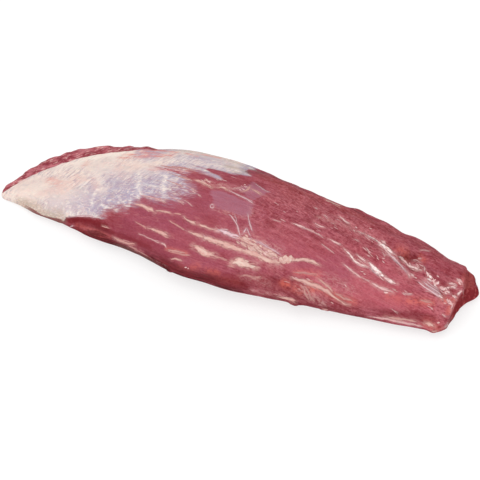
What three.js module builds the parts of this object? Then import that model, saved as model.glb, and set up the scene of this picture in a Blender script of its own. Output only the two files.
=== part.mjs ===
// A whole beef teres major, the petite tender of the shoulder: one long tapered muscle with its
// silverskin left on, as it is cut from the carcass. It lies on its flat underside with the thin
// tendon end at -X and the square knife cut at +X. Millimetres, +Z up, and the origin is on the
// resting plane under the middle of the bounding box.
import * as THREE from "three";
import { ImprovedNoise } from "three/addons/math/ImprovedNoise.js";
import { mergeVertices } from "three/addons/utils/BufferGeometryUtils.js";

// Driving dimensions of the cut.
const LENGTH = 242; // from the tendon tip to the top edge of the knife cut
const WIDTH = 76; // across the belly of the muscle
const THICKNESS = 36; // resting plane to crown, at the thickest

// The outline from above and the height of the crown. along is a share of LENGTH, from the tip.
// front, back and ridge are shares of WIDTH, off the long axis, with the back towards +Y. crown is
// a share of THICKNESS.
const STATIONS = [
  { along: 0.0, front: -0.12, back: 0.03, ridge: -0.05, crown: 0.12 },
  { along: 0.04, front: -0.15, back: 0.27, ridge: 0.01, crown: 0.21 },
  { along: 0.09, front: -0.21, back: 0.4, ridge: 0.06, crown: 0.32 },
  { along: 0.15, front: -0.25, back: 0.48, ridge: 0.09, crown: 0.45 },
  { along: 0.22, front: -0.33, back: 0.52, ridge: 0.1, crown: 0.59 },
  { along: 0.32, front: -0.39, back: 0.5, ridge: 0.06, crown: 0.81 },
  { along: 0.42, front: -0.49, back: 0.49, ridge: 0.02, crown: 0.96 },
  { along: 0.52, front: -0.53, back: 0.43, ridge: -0.01, crown: 1.0 },
  { along: 0.62, front: -0.52, back: 0.38, ridge: -0.03, crown: 0.93 },
  { along: 0.71, front: -0.49, back: 0.34, ridge: -0.04, crown: 0.82 },
  { along: 0.8, front: -0.46, back: 0.31, ridge: -0.04, crown: 0.7 },
  { along: 0.9, front: -0.43, back: 0.24, ridge: -0.06, crown: 0.57 },
  { along: 0.96, front: -0.4, back: 0.17, ridge: -0.08, crown: 0.51 },
  { along: 1.0, front: -0.34, back: 0.11, ridge: -0.1, crown: 0.47 },
];

// The section. An angle of 0 is the crown, 90 the front flank, 180 the underside and -90 the back.
const ROUNDNESS = 0.88; // exponent of the upper half, 1 for an ellipse and less for a fuller one
const WAIST = 0.42; // height of the widest level, as a share of the crown
const TUCK = 1.2; // how fast the flank turns under before it lies flat
const RELIEF_FROM = 5; // height over the resting plane from which the relief has its full depth

// Both ends. The top edge of the knife cut runs in at its two corners, as [mm across, mm along].
// The cut slopes outwards on its way down, but only in its back half.
const TIP_BLUNTNESS = 3; // how far the rounded tip reaches past its first station
const CUT_EDGE = [[-32, -4.5], [-20, -2.5], [-12, 0], [3, -0.5], [11, -1]];
const CUT_REACH = 6; // how far the foot of the cut stands out past its top edge
const CUT_REACH_FROM = -12; // across the muscle, where the slope starts and is complete
const CUT_REACH_TO = -2;
const CUT_REACH_CURVE = 1.3; // exponent of the slope on its way down
const CUT_BLEND = 14; // length over which the muscle behind the cut follows its shape
const CUT_ROUGHNESS = 1.1;
const CUT_LUMP = 6;
const CUT_LIFT = 3; // how far the underside rises at the cut, but for its front corner
const CUT_LIFT_LENGTH = 12;
const CUT_LIFT_ACROSS = [-28, -18];

// The steps of the torn back corner of the cut: mm across, mm up, how far out and how wide.
const CUT_STEPS = [
  { across: 9, up: 17, out: -6.5, size: 4.5 },
  { across: 9, up: 10.5, out: 0.8, size: 2 },
  { across: 9, up: 4, out: 1, size: 3 },
  { across: 1, up: 3, out: 2.4, size: 4 },
];

// Furrows and ridges of the surface. Each path is a list of [mm from the tip, degrees round].
const FURROWS = [
  // the torn crease on top of the thin end, with a hollow half way along it
  { depth: 1.6, width: 3.5, path: [[182, -14], [200, -7], [213, 3], [227, 23], [239, 17]] },
  { depth: 3.2, width: 4, path: [[212, -9], [219, -4]] },
  // the seam between the two bundles of the belly, where the fat lies
  { depth: 0.9, width: 4, path: [[78, 31], [104, 29], [130, 33], [156, 41], [176, 36]] },
  // the opening below the edge of the silverskin
  { depth: 1.2, width: 4.5, path: [[46, 74], [58, 70], [72, 74]] },
  // two folds low on the front
  { depth: 1.1, width: 3.5, path: [[150, 66], [164, 60], [180, 64], [192, 76]] },
  { depth: 1.9, width: 4, path: [[200, 88], [214, 78], [232, 69]] },
];

// Knobs and hollows of a single place: where, how high and how wide.
const KNOBS = [
  { along: 3, degrees: -70, height: 2.2, size: 4 },
  { along: 11, degrees: -62, height: 2.4, size: 5 },
  { along: 27, degrees: -70, height: 2, size: 7 },
  { along: 41, degrees: -72, height: 1.2, size: 6 },
  { along: 160, degrees: 70, height: -1.6, size: 4 },
  { along: 167, degrees: 98, height: 2.4, size: 3.5 },
  { along: 185, degrees: -52, height: 0.8, size: 4 },
  { along: 208, degrees: -18, height: 1.6, size: 4.5 },
  { along: 221, degrees: -1, height: 1.5, size: 3.5 },
  { along: 221, degrees: -58, height: 0.7, size: 3.5 },
  { along: 231, degrees: -50, height: -1.4, size: 4 },
  { along: 239, degrees: -42, height: 0.8, size: 4 },
  { along: 237, degrees: 104, height: 3.4, size: 5 },
];

// The silverskin stands proud of the rough meat behind it. Its edge, from the tip, in degrees.
const SKIN_EDGE = [[0, -8], [9, -25], [35, -30], [54, -35], [70, -46], [95, -75], [120, -95]];
const SKIN_THICKNESS = 1.3;
const SKIN_EDGE_WIDTH = 3;
const BAND_ROUGHNESS = 1.7; // of the meat behind the silverskin
const BAND_LUMP_LENGTH = 8;
const BAND_LUMP_DEGREES = 12;
const BAND_BLEND = 12; // length over which it sets in behind the tip

// The small lumps of the bare back flank, and where along the muscle and round it they set in.
const FLANK_ROUGHNESS = 1.1;
const FLANK_LUMP_LENGTH = 7;
const FLANK_LUMP_DEGREES = 16;
const FLANK_FROM = [115, 140];
const FLANK_BEYOND = [35, 55];

// The slow unevenness of the whole muscle, and the long bundles of its fibres.
const UNEVENNESS = 0.9;
const UNEVENNESS_SPAN = 21;
const BUNDLE_HEIGHT = 0.55;
const BUNDLE_LENGTH = 75;
const BUNDLE_DEGREES = 13;

// Where the noise is read for each kind of relief, so that no two kinds are alike.
const BAND_LAYER = 7.3;
const FLANK_LAYER = 3.7;
const BUNDLE_LAYER = 2.6;
const CUT_LAYER = 4.1;

// The mesh: rings along the muscle and points round it, closer together on top.
const RINGS = 76;
const AROUND = 78;
const TIP_RINGS = 4;
const FACE_RINGS = 9;
const CROWDING = 0.3;

const field = new ImprovedNoise();

// A smooth function through the stations' values of one name.
function profile(name, unit) {
  const places = STATIONS.map((station) => station.along * LENGTH);
  const values = STATIONS.map((station) => station[name] * unit);
  const curve = new THREE.CubicInterpolant(places, values, 1);
  return (along) => curve.evaluate(along)[0];
}

const frontAt = profile("front", WIDTH);
const backAt = profile("back", WIDTH);
const ridgeAt = profile("ridge", WIDTH);
const crownAt = profile("crown", THICKNESS);

// A function through a list of pairs.
function through(pairs) {
  const places = pairs.map((pair) => pair[0]);
  const values = pairs.map((pair) => pair[1]);
  const curve = new THREE.LinearInterpolant(places, values, 1);
  return (place) => curve.evaluate(place)[0];
}

const skinEdgeAt = through(SKIN_EDGE);
const cutEdgeAt = through(CUT_EDGE);

// Millimetres of surface for a degree round the section, at a place along the muscle.
function girthPerDegree(along) {
  return ((backAt(along) - frontAt(along) + crownAt(along)) * 1.6) / 360;
}

// How far a place of the surface is from a path on it.
function pathDistance(path, along, degrees) {
  const scale = girthPerDegree(along);
  let nearest = Infinity;
  for (let leg = 1; leg < path.length; leg += 1) {
    const [startAlong, startDegrees] = path[leg - 1];
    const [endAlong, endDegrees] = path[leg];
    const run = endAlong - startAlong;
    const climb = (endDegrees - startDegrees) * scale;
    const dx = along - startAlong;
    const dy = (degrees - startDegrees) * scale;
    const share = THREE.MathUtils.clamp((dx * run + dy * climb) / (run * run + climb * climb), 0, 1);
    nearest = Math.min(nearest, Math.hypot(dx - share * run, dy - share * climb));
  }
  return nearest;
}

function lumps(x, y, z) {
  return field.noise(x, y, z);
}

function bell(distance, width) {
  return Math.exp(-((distance / width) ** 2));
}

// The height of the relief over the smooth form.
function reliefAt(along, degrees, point) {
  let height = 0;
  for (const furrow of FURROWS) {
    height -= furrow.depth * bell(pathDistance(furrow.path, along, degrees), furrow.width);
  }
  for (const knob of KNOBS) {
    const dx = along - knob.along;
    const dy = (degrees - knob.degrees) * girthPerDegree(along);
    height += knob.height * bell(Math.hypot(dx, dy), knob.size);
  }
  const past = (skinEdgeAt(along) - degrees) * girthPerDegree(along);
  const band =
    THREE.MathUtils.smoothstep(past, -SKIN_EDGE_WIDTH / 2, SKIN_EDGE_WIDTH / 2) *
    THREE.MathUtils.smoothstep(along, 0, BAND_BLEND);
  const bandLumps = lumps(along / BAND_LUMP_LENGTH, degrees / BAND_LUMP_DEGREES, BAND_LAYER);
  height += band * (bandLumps * BAND_ROUGHNESS - SKIN_THICKNESS);
  const flank =
    THREE.MathUtils.smoothstep(along, ...FLANK_FROM) *
    THREE.MathUtils.smoothstep(-degrees, ...FLANK_BEYOND);
  const flankLumps = lumps(along / FLANK_LUMP_LENGTH, degrees / FLANK_LUMP_DEGREES, FLANK_LAYER);
  height += flank * flankLumps * FLANK_ROUGHNESS;
  const span = UNEVENNESS_SPAN;
  height += lumps(point.x / span, point.y / span, point.z / span) * UNEVENNESS;
  height += lumps(along / BUNDLE_LENGTH, degrees / BUNDLE_DEGREES, BUNDLE_LAYER) * BUNDLE_HEIGHT;
  return height;
}

// The point of the smooth form at a place along the muscle and round the section.
function formPoint(along, degrees) {
  const sideways = Math.sin(THREE.MathUtils.degToRad(degrees));
  const upwards = Math.cos(THREE.MathUtils.degToRad(degrees));
  const edge = sideways > 0 ? frontAt(along) : backAt(along);
  const ridge = ridgeAt(along);
  const crown = crownAt(along);
  const waist = WAIST * crown;
  const y = ridge + (edge - ridge) * Math.abs(sideways) ** ROUNDNESS;
  const rise =
    upwards > 0
      ? (crown - waist) * upwards ** ROUNDNESS
      : -waist * Math.min(1, -TUCK * upwards);
  return new THREE.Vector3(along, y, waist + rise);
}

// How far the knife cut stands out at a point of it.
function cutShift(point) {
  const slope = THREE.MathUtils.smoothstep(point.y, CUT_REACH_FROM, CUT_REACH_TO);
  const down = THREE.MathUtils.clamp(1 - point.z / crownAt(LENGTH), 0, 1);
  let shift = cutEdgeAt(point.y) + CUT_REACH * slope * down ** CUT_REACH_CURVE;
  for (const step of CUT_STEPS) {
    const distance = Math.hypot(point.y - step.across, point.z - step.up);
    shift += step.out * bell(distance, step.size);
  }
  return shift;
}

// The lowest level of the underside at a point of it.
function cutLift(point) {
  const atCut = THREE.MathUtils.smoothstep(point.x, LENGTH - CUT_LIFT_LENGTH, LENGTH);
  return CUT_LIFT * atCut * THREE.MathUtils.smoothstep(point.y, ...CUT_LIFT_ACROSS);
}

// Ring by ring: the place along the muscle, how far its section is drawn in, and the part of the
// mesh that it belongs to.
function ringPlace(ring) {
  if (ring < TIP_RINGS) {
    return { part: "tip", along: 0, shrink: Math.sin((Math.PI / 2) * (ring / TIP_RINGS)) };
  }
  const lastFull = RINGS - FACE_RINGS;
  if (ring <= lastFull) {
    const share = (ring - TIP_RINGS) / (lastFull - TIP_RINGS);
    return { part: "body", along: share * LENGTH, shrink: 1 };
  }
  return { part: "cut", along: LENGTH, shrink: (RINGS - ring) / FACE_RINGS };
}

// A point of the finished surface. On the tip and the cut, the section is drawn in to its middle.
function surfacePoint(ring, degrees) {
  const { part, along, shrink } = ringPlace(ring);
  const middle = new THREE.Vector3(along, ridgeAt(along), WAIST * crownAt(along));
  const point = formPoint(along, degrees);
  const outwards = point.clone().sub(middle).normalize();
  const offGround = THREE.MathUtils.smoothstep(point.z, 0, RELIEF_FROM);
  point.addScaledVector(outwards, reliefAt(along, degrees, point) * offGround);
  point.z = Math.max(cutLift(point), point.z);
  point.lerp(middle, 1 - shrink);
  if (part === "tip") {
    point.x -= TIP_BLUNTNESS * Math.sqrt(1 - shrink * shrink);
  }
  point.x += cutShift(point) * THREE.MathUtils.smoothstep(along, LENGTH - CUT_BLEND, LENGTH);
  if (part === "cut") {
    const rough = lumps(point.y / CUT_LUMP, point.z / CUT_LUMP, CUT_LAYER) * CUT_ROUGHNESS;
    point.x += rough * (1 - shrink ** 4);
  }
  return point;
}

// The muscle's surface: the rings of a sphere, from pole to pole, carried on to the sections.
function muscleGeometry() {
  const sphere = new THREE.SphereGeometry(1, AROUND, RINGS);
  const position = sphere.getAttribute("position");
  for (let index = 0; index < position.count; index += 1) {
    const ring = Math.floor(index / (AROUND + 1));
    const share = (index % (AROUND + 1)) / AROUND;
    const turn = 2 * Math.PI * (0.5 - share);
    const degrees = THREE.MathUtils.radToDeg(turn - CROWDING * Math.sin(turn));
    const point = surfacePoint(ring, degrees);
    position.setXYZ(index, point.x, point.y, point.z);
  }
  sphere.deleteAttribute("normal");
  sphere.deleteAttribute("uv");
  const surface = mergeVertices(sphere, 1e-3);
  surface.computeBoundingBox();
  const box = surface.boundingBox;
  const middle = box.getCenter(new THREE.Vector3());
  surface.translate(-middle.x, -middle.y, -box.min.z);
  surface.computeVertexNormals();
  return surface;
}

const meat = new THREE.MeshStandardMaterial({ color: 0xa6525f, roughness: 0.42, metalness: 0 });

const teresMajor = new THREE.Group();
const muscle = new THREE.Mesh(muscleGeometry(), meat);
muscle.name = "muscle";
teresMajor.add(muscle);

export default teresMajor;
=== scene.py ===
"""A raw beef teres major, lying on a pale floor in soft studio light.

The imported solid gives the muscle's form. A finer copy of it gets the fibres, the silverskin's edge and
the folds as relief. The fat, the white fibres with torn flecks, and the fascia are pieces of their own,
laid on it. Places on the muscle are given in two ways: as a spot of the photograph, looked up on the
surface through the camera, or on the muscle's chart, as millimetres from the tip and degrees round
from the crown, with the front positive.
"""

import math
import random

import bpy
import numpy as np
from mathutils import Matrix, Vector, noise
from mathutils.bvhtree import BVHTree


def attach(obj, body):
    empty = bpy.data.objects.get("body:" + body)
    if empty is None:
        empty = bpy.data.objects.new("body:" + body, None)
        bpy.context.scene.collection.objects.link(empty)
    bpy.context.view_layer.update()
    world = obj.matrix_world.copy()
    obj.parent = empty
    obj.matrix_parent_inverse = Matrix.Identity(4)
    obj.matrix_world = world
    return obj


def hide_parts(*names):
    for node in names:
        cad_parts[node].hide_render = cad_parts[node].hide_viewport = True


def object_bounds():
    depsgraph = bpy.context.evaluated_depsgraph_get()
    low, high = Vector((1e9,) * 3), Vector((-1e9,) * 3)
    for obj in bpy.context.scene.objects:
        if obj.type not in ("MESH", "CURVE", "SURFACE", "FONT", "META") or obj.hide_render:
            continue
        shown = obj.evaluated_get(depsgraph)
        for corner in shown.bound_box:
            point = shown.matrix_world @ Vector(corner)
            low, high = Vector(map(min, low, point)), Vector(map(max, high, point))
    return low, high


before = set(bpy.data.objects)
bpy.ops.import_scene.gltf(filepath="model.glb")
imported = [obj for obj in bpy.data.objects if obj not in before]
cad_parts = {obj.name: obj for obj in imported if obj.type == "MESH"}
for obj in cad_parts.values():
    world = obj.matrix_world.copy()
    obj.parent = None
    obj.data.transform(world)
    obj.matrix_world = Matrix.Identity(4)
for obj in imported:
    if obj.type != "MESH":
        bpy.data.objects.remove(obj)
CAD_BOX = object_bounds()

MM = 0.001
TIP_X = CAD_BOX[0][0]
RANDOM_SEED = 4
# Stands in for a length of nothing where a sum divides by it
TINY = 1e-9

# The camera
FRAME_SIDE = 480
SENSOR = 36.0
LENS = 100.0
PIXELS_PER_SLOPE = LENS / SENSOR * FRAME_SIDE
AZIMUTH = 18.0
ELEVATION = 47.0
DISTANCE = 0.660
NEAREST_SEEN = 0.05
AIM = Vector((0.0076, -0.0095, 0.0150))
MM_PER_PIXEL = 0.5

# Gaps between the points of a line over the surface, in pixels or, out of sight, in mm
TRACE_STEP = 2.0
STRAND_STEP = 1.0
# Nearer to the middle line than this, in mm, a degree counts as it does at it
LEAST_RADIUS = 4


def make_camera():
    """The camera, at the photograph's viewing angle."""
    turn = math.radians(AZIMUTH)
    lift = math.radians(ELEVATION)
    away = Vector((math.sin(turn) * math.cos(lift), -math.cos(turn) * math.cos(lift), math.sin(lift)))
    bpy.ops.object.camera_add(location=AIM + away * DISTANCE)
    camera = bpy.context.object
    camera.name = "camera"
    camera.rotation_euler = away.to_track_quat("Z", "Y").to_euler()
    camera.data.lens = LENS
    camera.data.sensor_width = SENSOR
    camera.data.clip_start = NEAREST_SEEN
    bpy.context.scene.camera = camera
    bpy.context.view_layer.update()
    return camera


def ray_through(camera, spot):
    """The camera's ray through a spot of the picture, as a start and a direction."""
    half = FRAME_SIDE / 2
    local = Vector(((spot[0] - half) / PIXELS_PER_SLOPE, (half - spot[1]) / PIXELS_PER_SLOPE, -1))
    return camera.location.copy(), (camera.rotation_euler.to_matrix() @ local).normalized()


# The muscle's middle line, in mm: from the tip, across, and up
MIDDLE_LINE = (
    (0, -4, 2), (25, 3, 5), (50, 7, 9), (80, 5, 12), (125, 0, 15), (170, -2, 12), (212, -5, 9), (252, -7, 7),
)


def middle_at(along):
    """The middle line's place across and up, in mm, at a distance along the muscle."""
    stops = np.array(MIDDLE_LINE, float)
    return np.interp(along, stops[:, 0], stops[:, 1]), np.interp(along, stops[:, 0], stops[:, 2])


def chart(points):
    """The chart places of points in metres, each with its radius from the middle line in mm."""
    points = np.atleast_2d(np.array(points, float))
    along = (points[:, 0] - TIP_X) / MM
    across, up = middle_at(along)
    side = points[:, 1] / MM - across
    rise = points[:, 2] / MM - up
    return np.stack([along, np.degrees(np.arctan2(-side, rise)), np.hypot(side, rise)], 1)


class Surface:
    """The muscle's surface, which looks up spots of the picture and places of the chart."""

    def __init__(self, piece, camera):
        self.tree = BVHTree.FromObject(piece, bpy.context.evaluated_depsgraph_get())
        self.camera = camera

    def nearest(self, point):
        """The point of the surface nearest to a point, and its normal."""
        hit, normal, _, _ = self.tree.find_nearest(point)
        return hit, normal

    def behind(self, spot):
        """The point of the surface behind a spot of the picture, or the nearest one beside it."""
        start, way = ray_through(self.camera, spot)
        hit = self.tree.ray_cast(start, way)[0]
        if hit is None:
            hit, _ = self.nearest(start + way * (AIM - start).length)
        return hit

    def at(self, place):
        """The point of the surface at a place of the chart."""
        along, degrees = place
        across, up = middle_at(along)
        start = Vector((TIP_X + along * MM, across * MM, up * MM))
        turn = math.radians(degrees)
        hit = self.tree.ray_cast(start, Vector((0, -math.sin(turn), math.cos(turn))))[0]
        if hit is None:
            hit, _ = self.nearest(start)
        return hit

    def places_of(self, spots):
        """Spots of the picture as chart places, without their radius."""
        return chart([self.behind(spot) for spot in spots])[:, :2]

    def trace(self, spots):
        """A line through spots of the picture as chart places close together, without their radius."""
        return self.places_of(curve_through(spots, TRACE_STEP))

    def spots_of(self, points):
        """Where in the picture points in metres are seen, with a radius that makes a pixel count as a mm."""
        toward = self.camera.matrix_world.inverted()
        seen = points @ np.array(toward.to_3x3()).T + np.array(toward.translation)
        across = FRAME_SIDE / 2 - PIXELS_PER_SLOPE * seen[:, 0] / seen[:, 2]
        down = FRAME_SIDE / 2 + PIXELS_PER_SLOPE * seen[:, 1] / seen[:, 2]
        return np.stack([across, down, np.full(len(points), math.degrees(1))], 1)


def smooth(low, high, values):
    """0 at low, 1 at high, and an S-curve between."""
    share = np.clip((values - low) / (high - low), 0, 1)
    return share * share * (3 - 2 * share)


def within(start, end, values):
    """1 between a start and an end and 0 outside, fading over each of the two pairs of values."""
    return smooth(*start, values) * (1 - smooth(*end, values))


def curve_through(stops, step):
    """Points about a step apart on a smooth curve through the stops."""
    stops = np.array(stops, float)
    ends = np.vstack([2 * stops[0] - stops[1], stops, 2 * stops[-1] - stops[-2]])
    points = [stops[0]]
    for before, start, end, after in zip(ends[:-3], ends[1:-2], ends[2:-1], ends[3:]):
        count = max(1, round(float(np.hypot(*(end - start)[:2])) / step))
        for share in np.arange(1, count + 1) / count:
            bend = 2 * before - 5 * start + 4 * end - after
            bend += share * (3 * start - before - 3 * end + after)
            points.append(start + 0.5 * share * (end - before + share * bend))
    return np.array(points)


def distance_to(places, line):
    """Distance on the surface, in mm, from chart places to a line of chart places."""
    line = np.asarray(line, float)
    best = np.full(len(places), np.inf)
    scale = np.radians(np.maximum(places[:, 2], LEAST_RADIUS))
    for start, end in zip(line[:-1], line[1:]):
        run = end[0] - start[0]
        climb = (end[1] - start[1]) * scale
        ahead = places[:, 0] - start[0]
        turned = (places[:, 1] - start[1]) * scale
        share = np.clip((ahead * run + turned * climb) / np.maximum(run * run + climb * climb, TINY), 0, 1)
        best = np.minimum(best, np.hypot(ahead - share * run, turned - share * climb))
    return best


def depth_in(places, outline):
    """How deep in mm chart places lie inside a closed outline of chart places, negative outside."""
    outline = np.asarray(outline, float)
    crossings = np.zeros(len(places), int)
    for start, end in zip(outline, np.roll(outline, -1, axis=0)):
        spans = (start[1] > places[:, 1]) != (end[1] > places[:, 1])
        rise = end[1] - start[1] if end[1] != start[1] else TINY
        meet = start[0] + (places[:, 1] - start[1]) / rise * (end[0] - start[0])
        crossings += spans & (places[:, 0] < meet)
    edge = distance_to(places, np.vstack([outline, outline[:1]]))
    return np.where(crossings % 2 == 1, edge, -edge)


def each_noise(points, spans, seed):
    """Smooth noise between -1 and 1 at each point, with waves of the given spans in mm on each axis."""
    stretched = points / (np.array(spans) * MM)
    return np.array([noise.noise(Vector(p) + Vector((seed, seed * 0.7, -seed))) for p in stretched])


def rows_of(mesh, field):
    """A row for each vertex of a mesh, with its place for the field co or its normal for normal."""
    flat = np.empty(len(mesh.vertices) * 3, np.float32)
    mesh.vertices.foreach_get(field, flat)
    return flat.reshape(-1, 3).astype(float)


def move_to(mesh, points):
    """Puts a mesh's vertices at new places."""
    mesh.vertices.foreach_set("co", np.asarray(points, np.float32).ravel())
    mesh.update()


def keep(mesh, name, values):
    """Stores a value or a vector for each vertex, for the material to read."""
    values = np.asarray(values, np.float32)
    kind, field = ("FLOAT", "value") if values.ndim == 1 else ("FLOAT_VECTOR", "vector")
    mesh.attributes.new(name, kind, "POINT").data.foreach_set(field, values.ravel())


def only(*pieces):
    """Selects these pieces alone and makes the first one active."""
    bpy.ops.object.select_all(action="DESELECT")
    for piece in pieces:
        piece.select_set(True)
    bpy.context.view_layer.objects.active = pieces[0]


# The silverskin's outline: spots of the photograph, and chart places where it goes on out of sight
SKIN_BACK_EDGE = [
    (3, 193), (15.3, 185), (30.6, 176.3), (57, 165.6), (86.7, 156.9), (122.4, 151.8), (147, 149.5),
]
SKIN_OVER_THE_BACK = [
    (74, -66), (84, -82), (95, -90), (108, -100), (118, -97), (126, -90), (130, -78), (132.5, -68),
    (131.8, -60),
]
SKIN_UPPER_LOBE = [
    (256, 171.4), (250, 170.4), (247.6, 171.8), (250.6, 173.6), (254.4, 175.4), (252, 177.8), (246, 176.8),
    (240, 175.6), (234, 175.2), (227, 173.4), (220, 171.8), (214, 170.4), (209, 169.6), (213, 172.4),
    (220, 174.8), (224, 178), (223, 182), (217, 181.2), (210, 178), (203, 175.4), (196.5, 174.2),
]
SKIN_FADING_EDGE = [
    (194, 176.4), (198, 180), (202, 184.5), (204, 190), (201, 196), (195, 200.5), (188, 204.5), (179, 208.5),
    (170, 209.6), (160, 209), (150, 207.6), (143.5, 206), (141.5, 207), (142, 208.6), (137, 209.5),
    (132, 212), (130, 217), (125, 219.5), (118, 219), (108, 220),
]
SKIN_WINDOW_EDGE = [(100, 219), (95, 217.6), (88, 216.2), (76.5, 216.2), (65, 217.4), (63.6, 222)]
SKIN_UNDER_THE_TIP = [(34, 112), (22, 124), (4, 140), (-4, 160), (-6, 60), (-4, 0)]

# The front's lower outline as the photograph shows it: mm from the tip and degrees round from the crown
LOWER_OUTLINE = (
    (10, 80), (19, 84), (24.6, 85.5), (29.6, 90), (34.8, 88.5), (39.8, 87), (44.8, 91), (52, 93), (60, 90.5),
    (67.5, 89.5), (74, 93.5), (81, 95.5), (88.5, 93), (96, 90.5), (103, 91.5), (110, 92.5), (116, 94.5),
    (122.6, 93.5), (133, 91.5), (153, 90.5), (172, 89), (191, 92.5), (211, 92), (230, 89),
)

# The dark face of the cut, as spots of the photograph
CUT_FACE = [
    (457, 299), (460, 293.2), (465.4, 289.4), (472, 288), (486, 286.6), (486, 306), (468, 322), (450, 336),
    (444, 334), (449, 321), (453, 308),
]

# The clear film over the middle of the back: two sheets, as spots of the photograph
FILMS = [
    [
        (210.2, 189.3), (221, 190.5), (230.6, 194.3), (240.8, 198), (249.7, 201.2), (255.5, 205),
        (252.3, 209.7), (252.3, 216.7), (244.6, 217.4), (237, 216), (225.5, 211.6), (216.6, 208.4),
        (211.5, 204.6),
    ],
    [
        (230.6, 188), (240.8, 187.4), (245.9, 185.5), (252.9, 181.7), (261.2, 186.8), (266.3, 191.2),
        (270, 191.9), (263.8, 195), (260, 198.9), (253.6, 200.2),
    ],
]

# Folds of the surface, and lumps where the depth is negative: depth and width in mm, then the spots
FOLDS = {
    "torn crease": (0.8, 1.2, [(368, 234), (377, 239), (386, 243), (394, 251), (402, 258)]),
    "torn hollow": (2.4, 1.6, [(403, 259), (407, 260.5), (412, 257.5), (418, 258)]),
    "lump in the hollow": (-1.0, 2.0, [(413, 263.5), (420, 265)]),
    "under the hollow's lump": (1.3, 1.0, [(408, 265), (414, 269), (421, 268.6), (425, 264)]),
    "lump before the hollow": (-0.7, 2.4, [(398, 250), (406, 253)]),
    "edge of the torn crease": (-0.5, 1.3, [(372, 239), (382, 245), (391, 252), (400, 260), (408, 267)]),
    "crease to the cut": (0.8, 1.2, [(428, 276), (434, 283), (441, 290), (446, 296)]),
    "ridge to the cut": (-0.6, 1.5, [(419, 281), (428, 288), (438, 296)]),
    "rim of the cut": (-0.7, 1.2, [(462, 289), (457, 296), (452.5, 305), (449.5, 314)]),
    "corner of the cut": (-1.5, 2.2, [(459, 266), (464, 269)]),
    "notch of the cut": (1.2, 1.4, [(468, 273.4), (469, 274.6)]),
    "second corner of the cut": (-1.3, 1.8, [(472, 279), (473, 280)]),
    "third corner of the cut": (-1.0, 2.4, [(476, 289), (475.5, 297)]),
    "hollow by the ridge": (0.6, 2.0, [(424, 296), (434, 301), (444, 309)]),
    "hollow of the far end": (0.6, 2.2, [(448, 282), (456, 284), (462, 281)]),
    "upper seam": (0.5, 1.6, [(136, 207), (154, 214), (183, 217), (200, 227), (230, 236), (262, 249)]),
    "window": (0.8, 3.0, [(66, 219), (78, 220), (90, 223), (104, 228)]),
    "low front hollow": (1.2, 1.8, [(276, 281), (284, 283), (292, 287)]),
    "low front fold": (0.7, 1.5, [(293, 284), (307, 288), (321, 294), (334, 300)]),
    "fold over the thin end": (1.1, 1.7, [(376, 314), (393, 316.5), (411, 318), (429, 320)]),
    "lifted flap": (0.9, 1.5, [(430, 266), (442, 271), (455, 277)]),
    "scrap on the low front": (-1.6, 1.0, [(291, 301.6), (296, 303.6)]),
    "scrap on the belly": (-0.9, 0.8, [(168, 269.4), (171.6, 271)]),
    "scrap past the low front": (-0.8, 1.0, [(321, 308), (328, 309.6)]),
}

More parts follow.
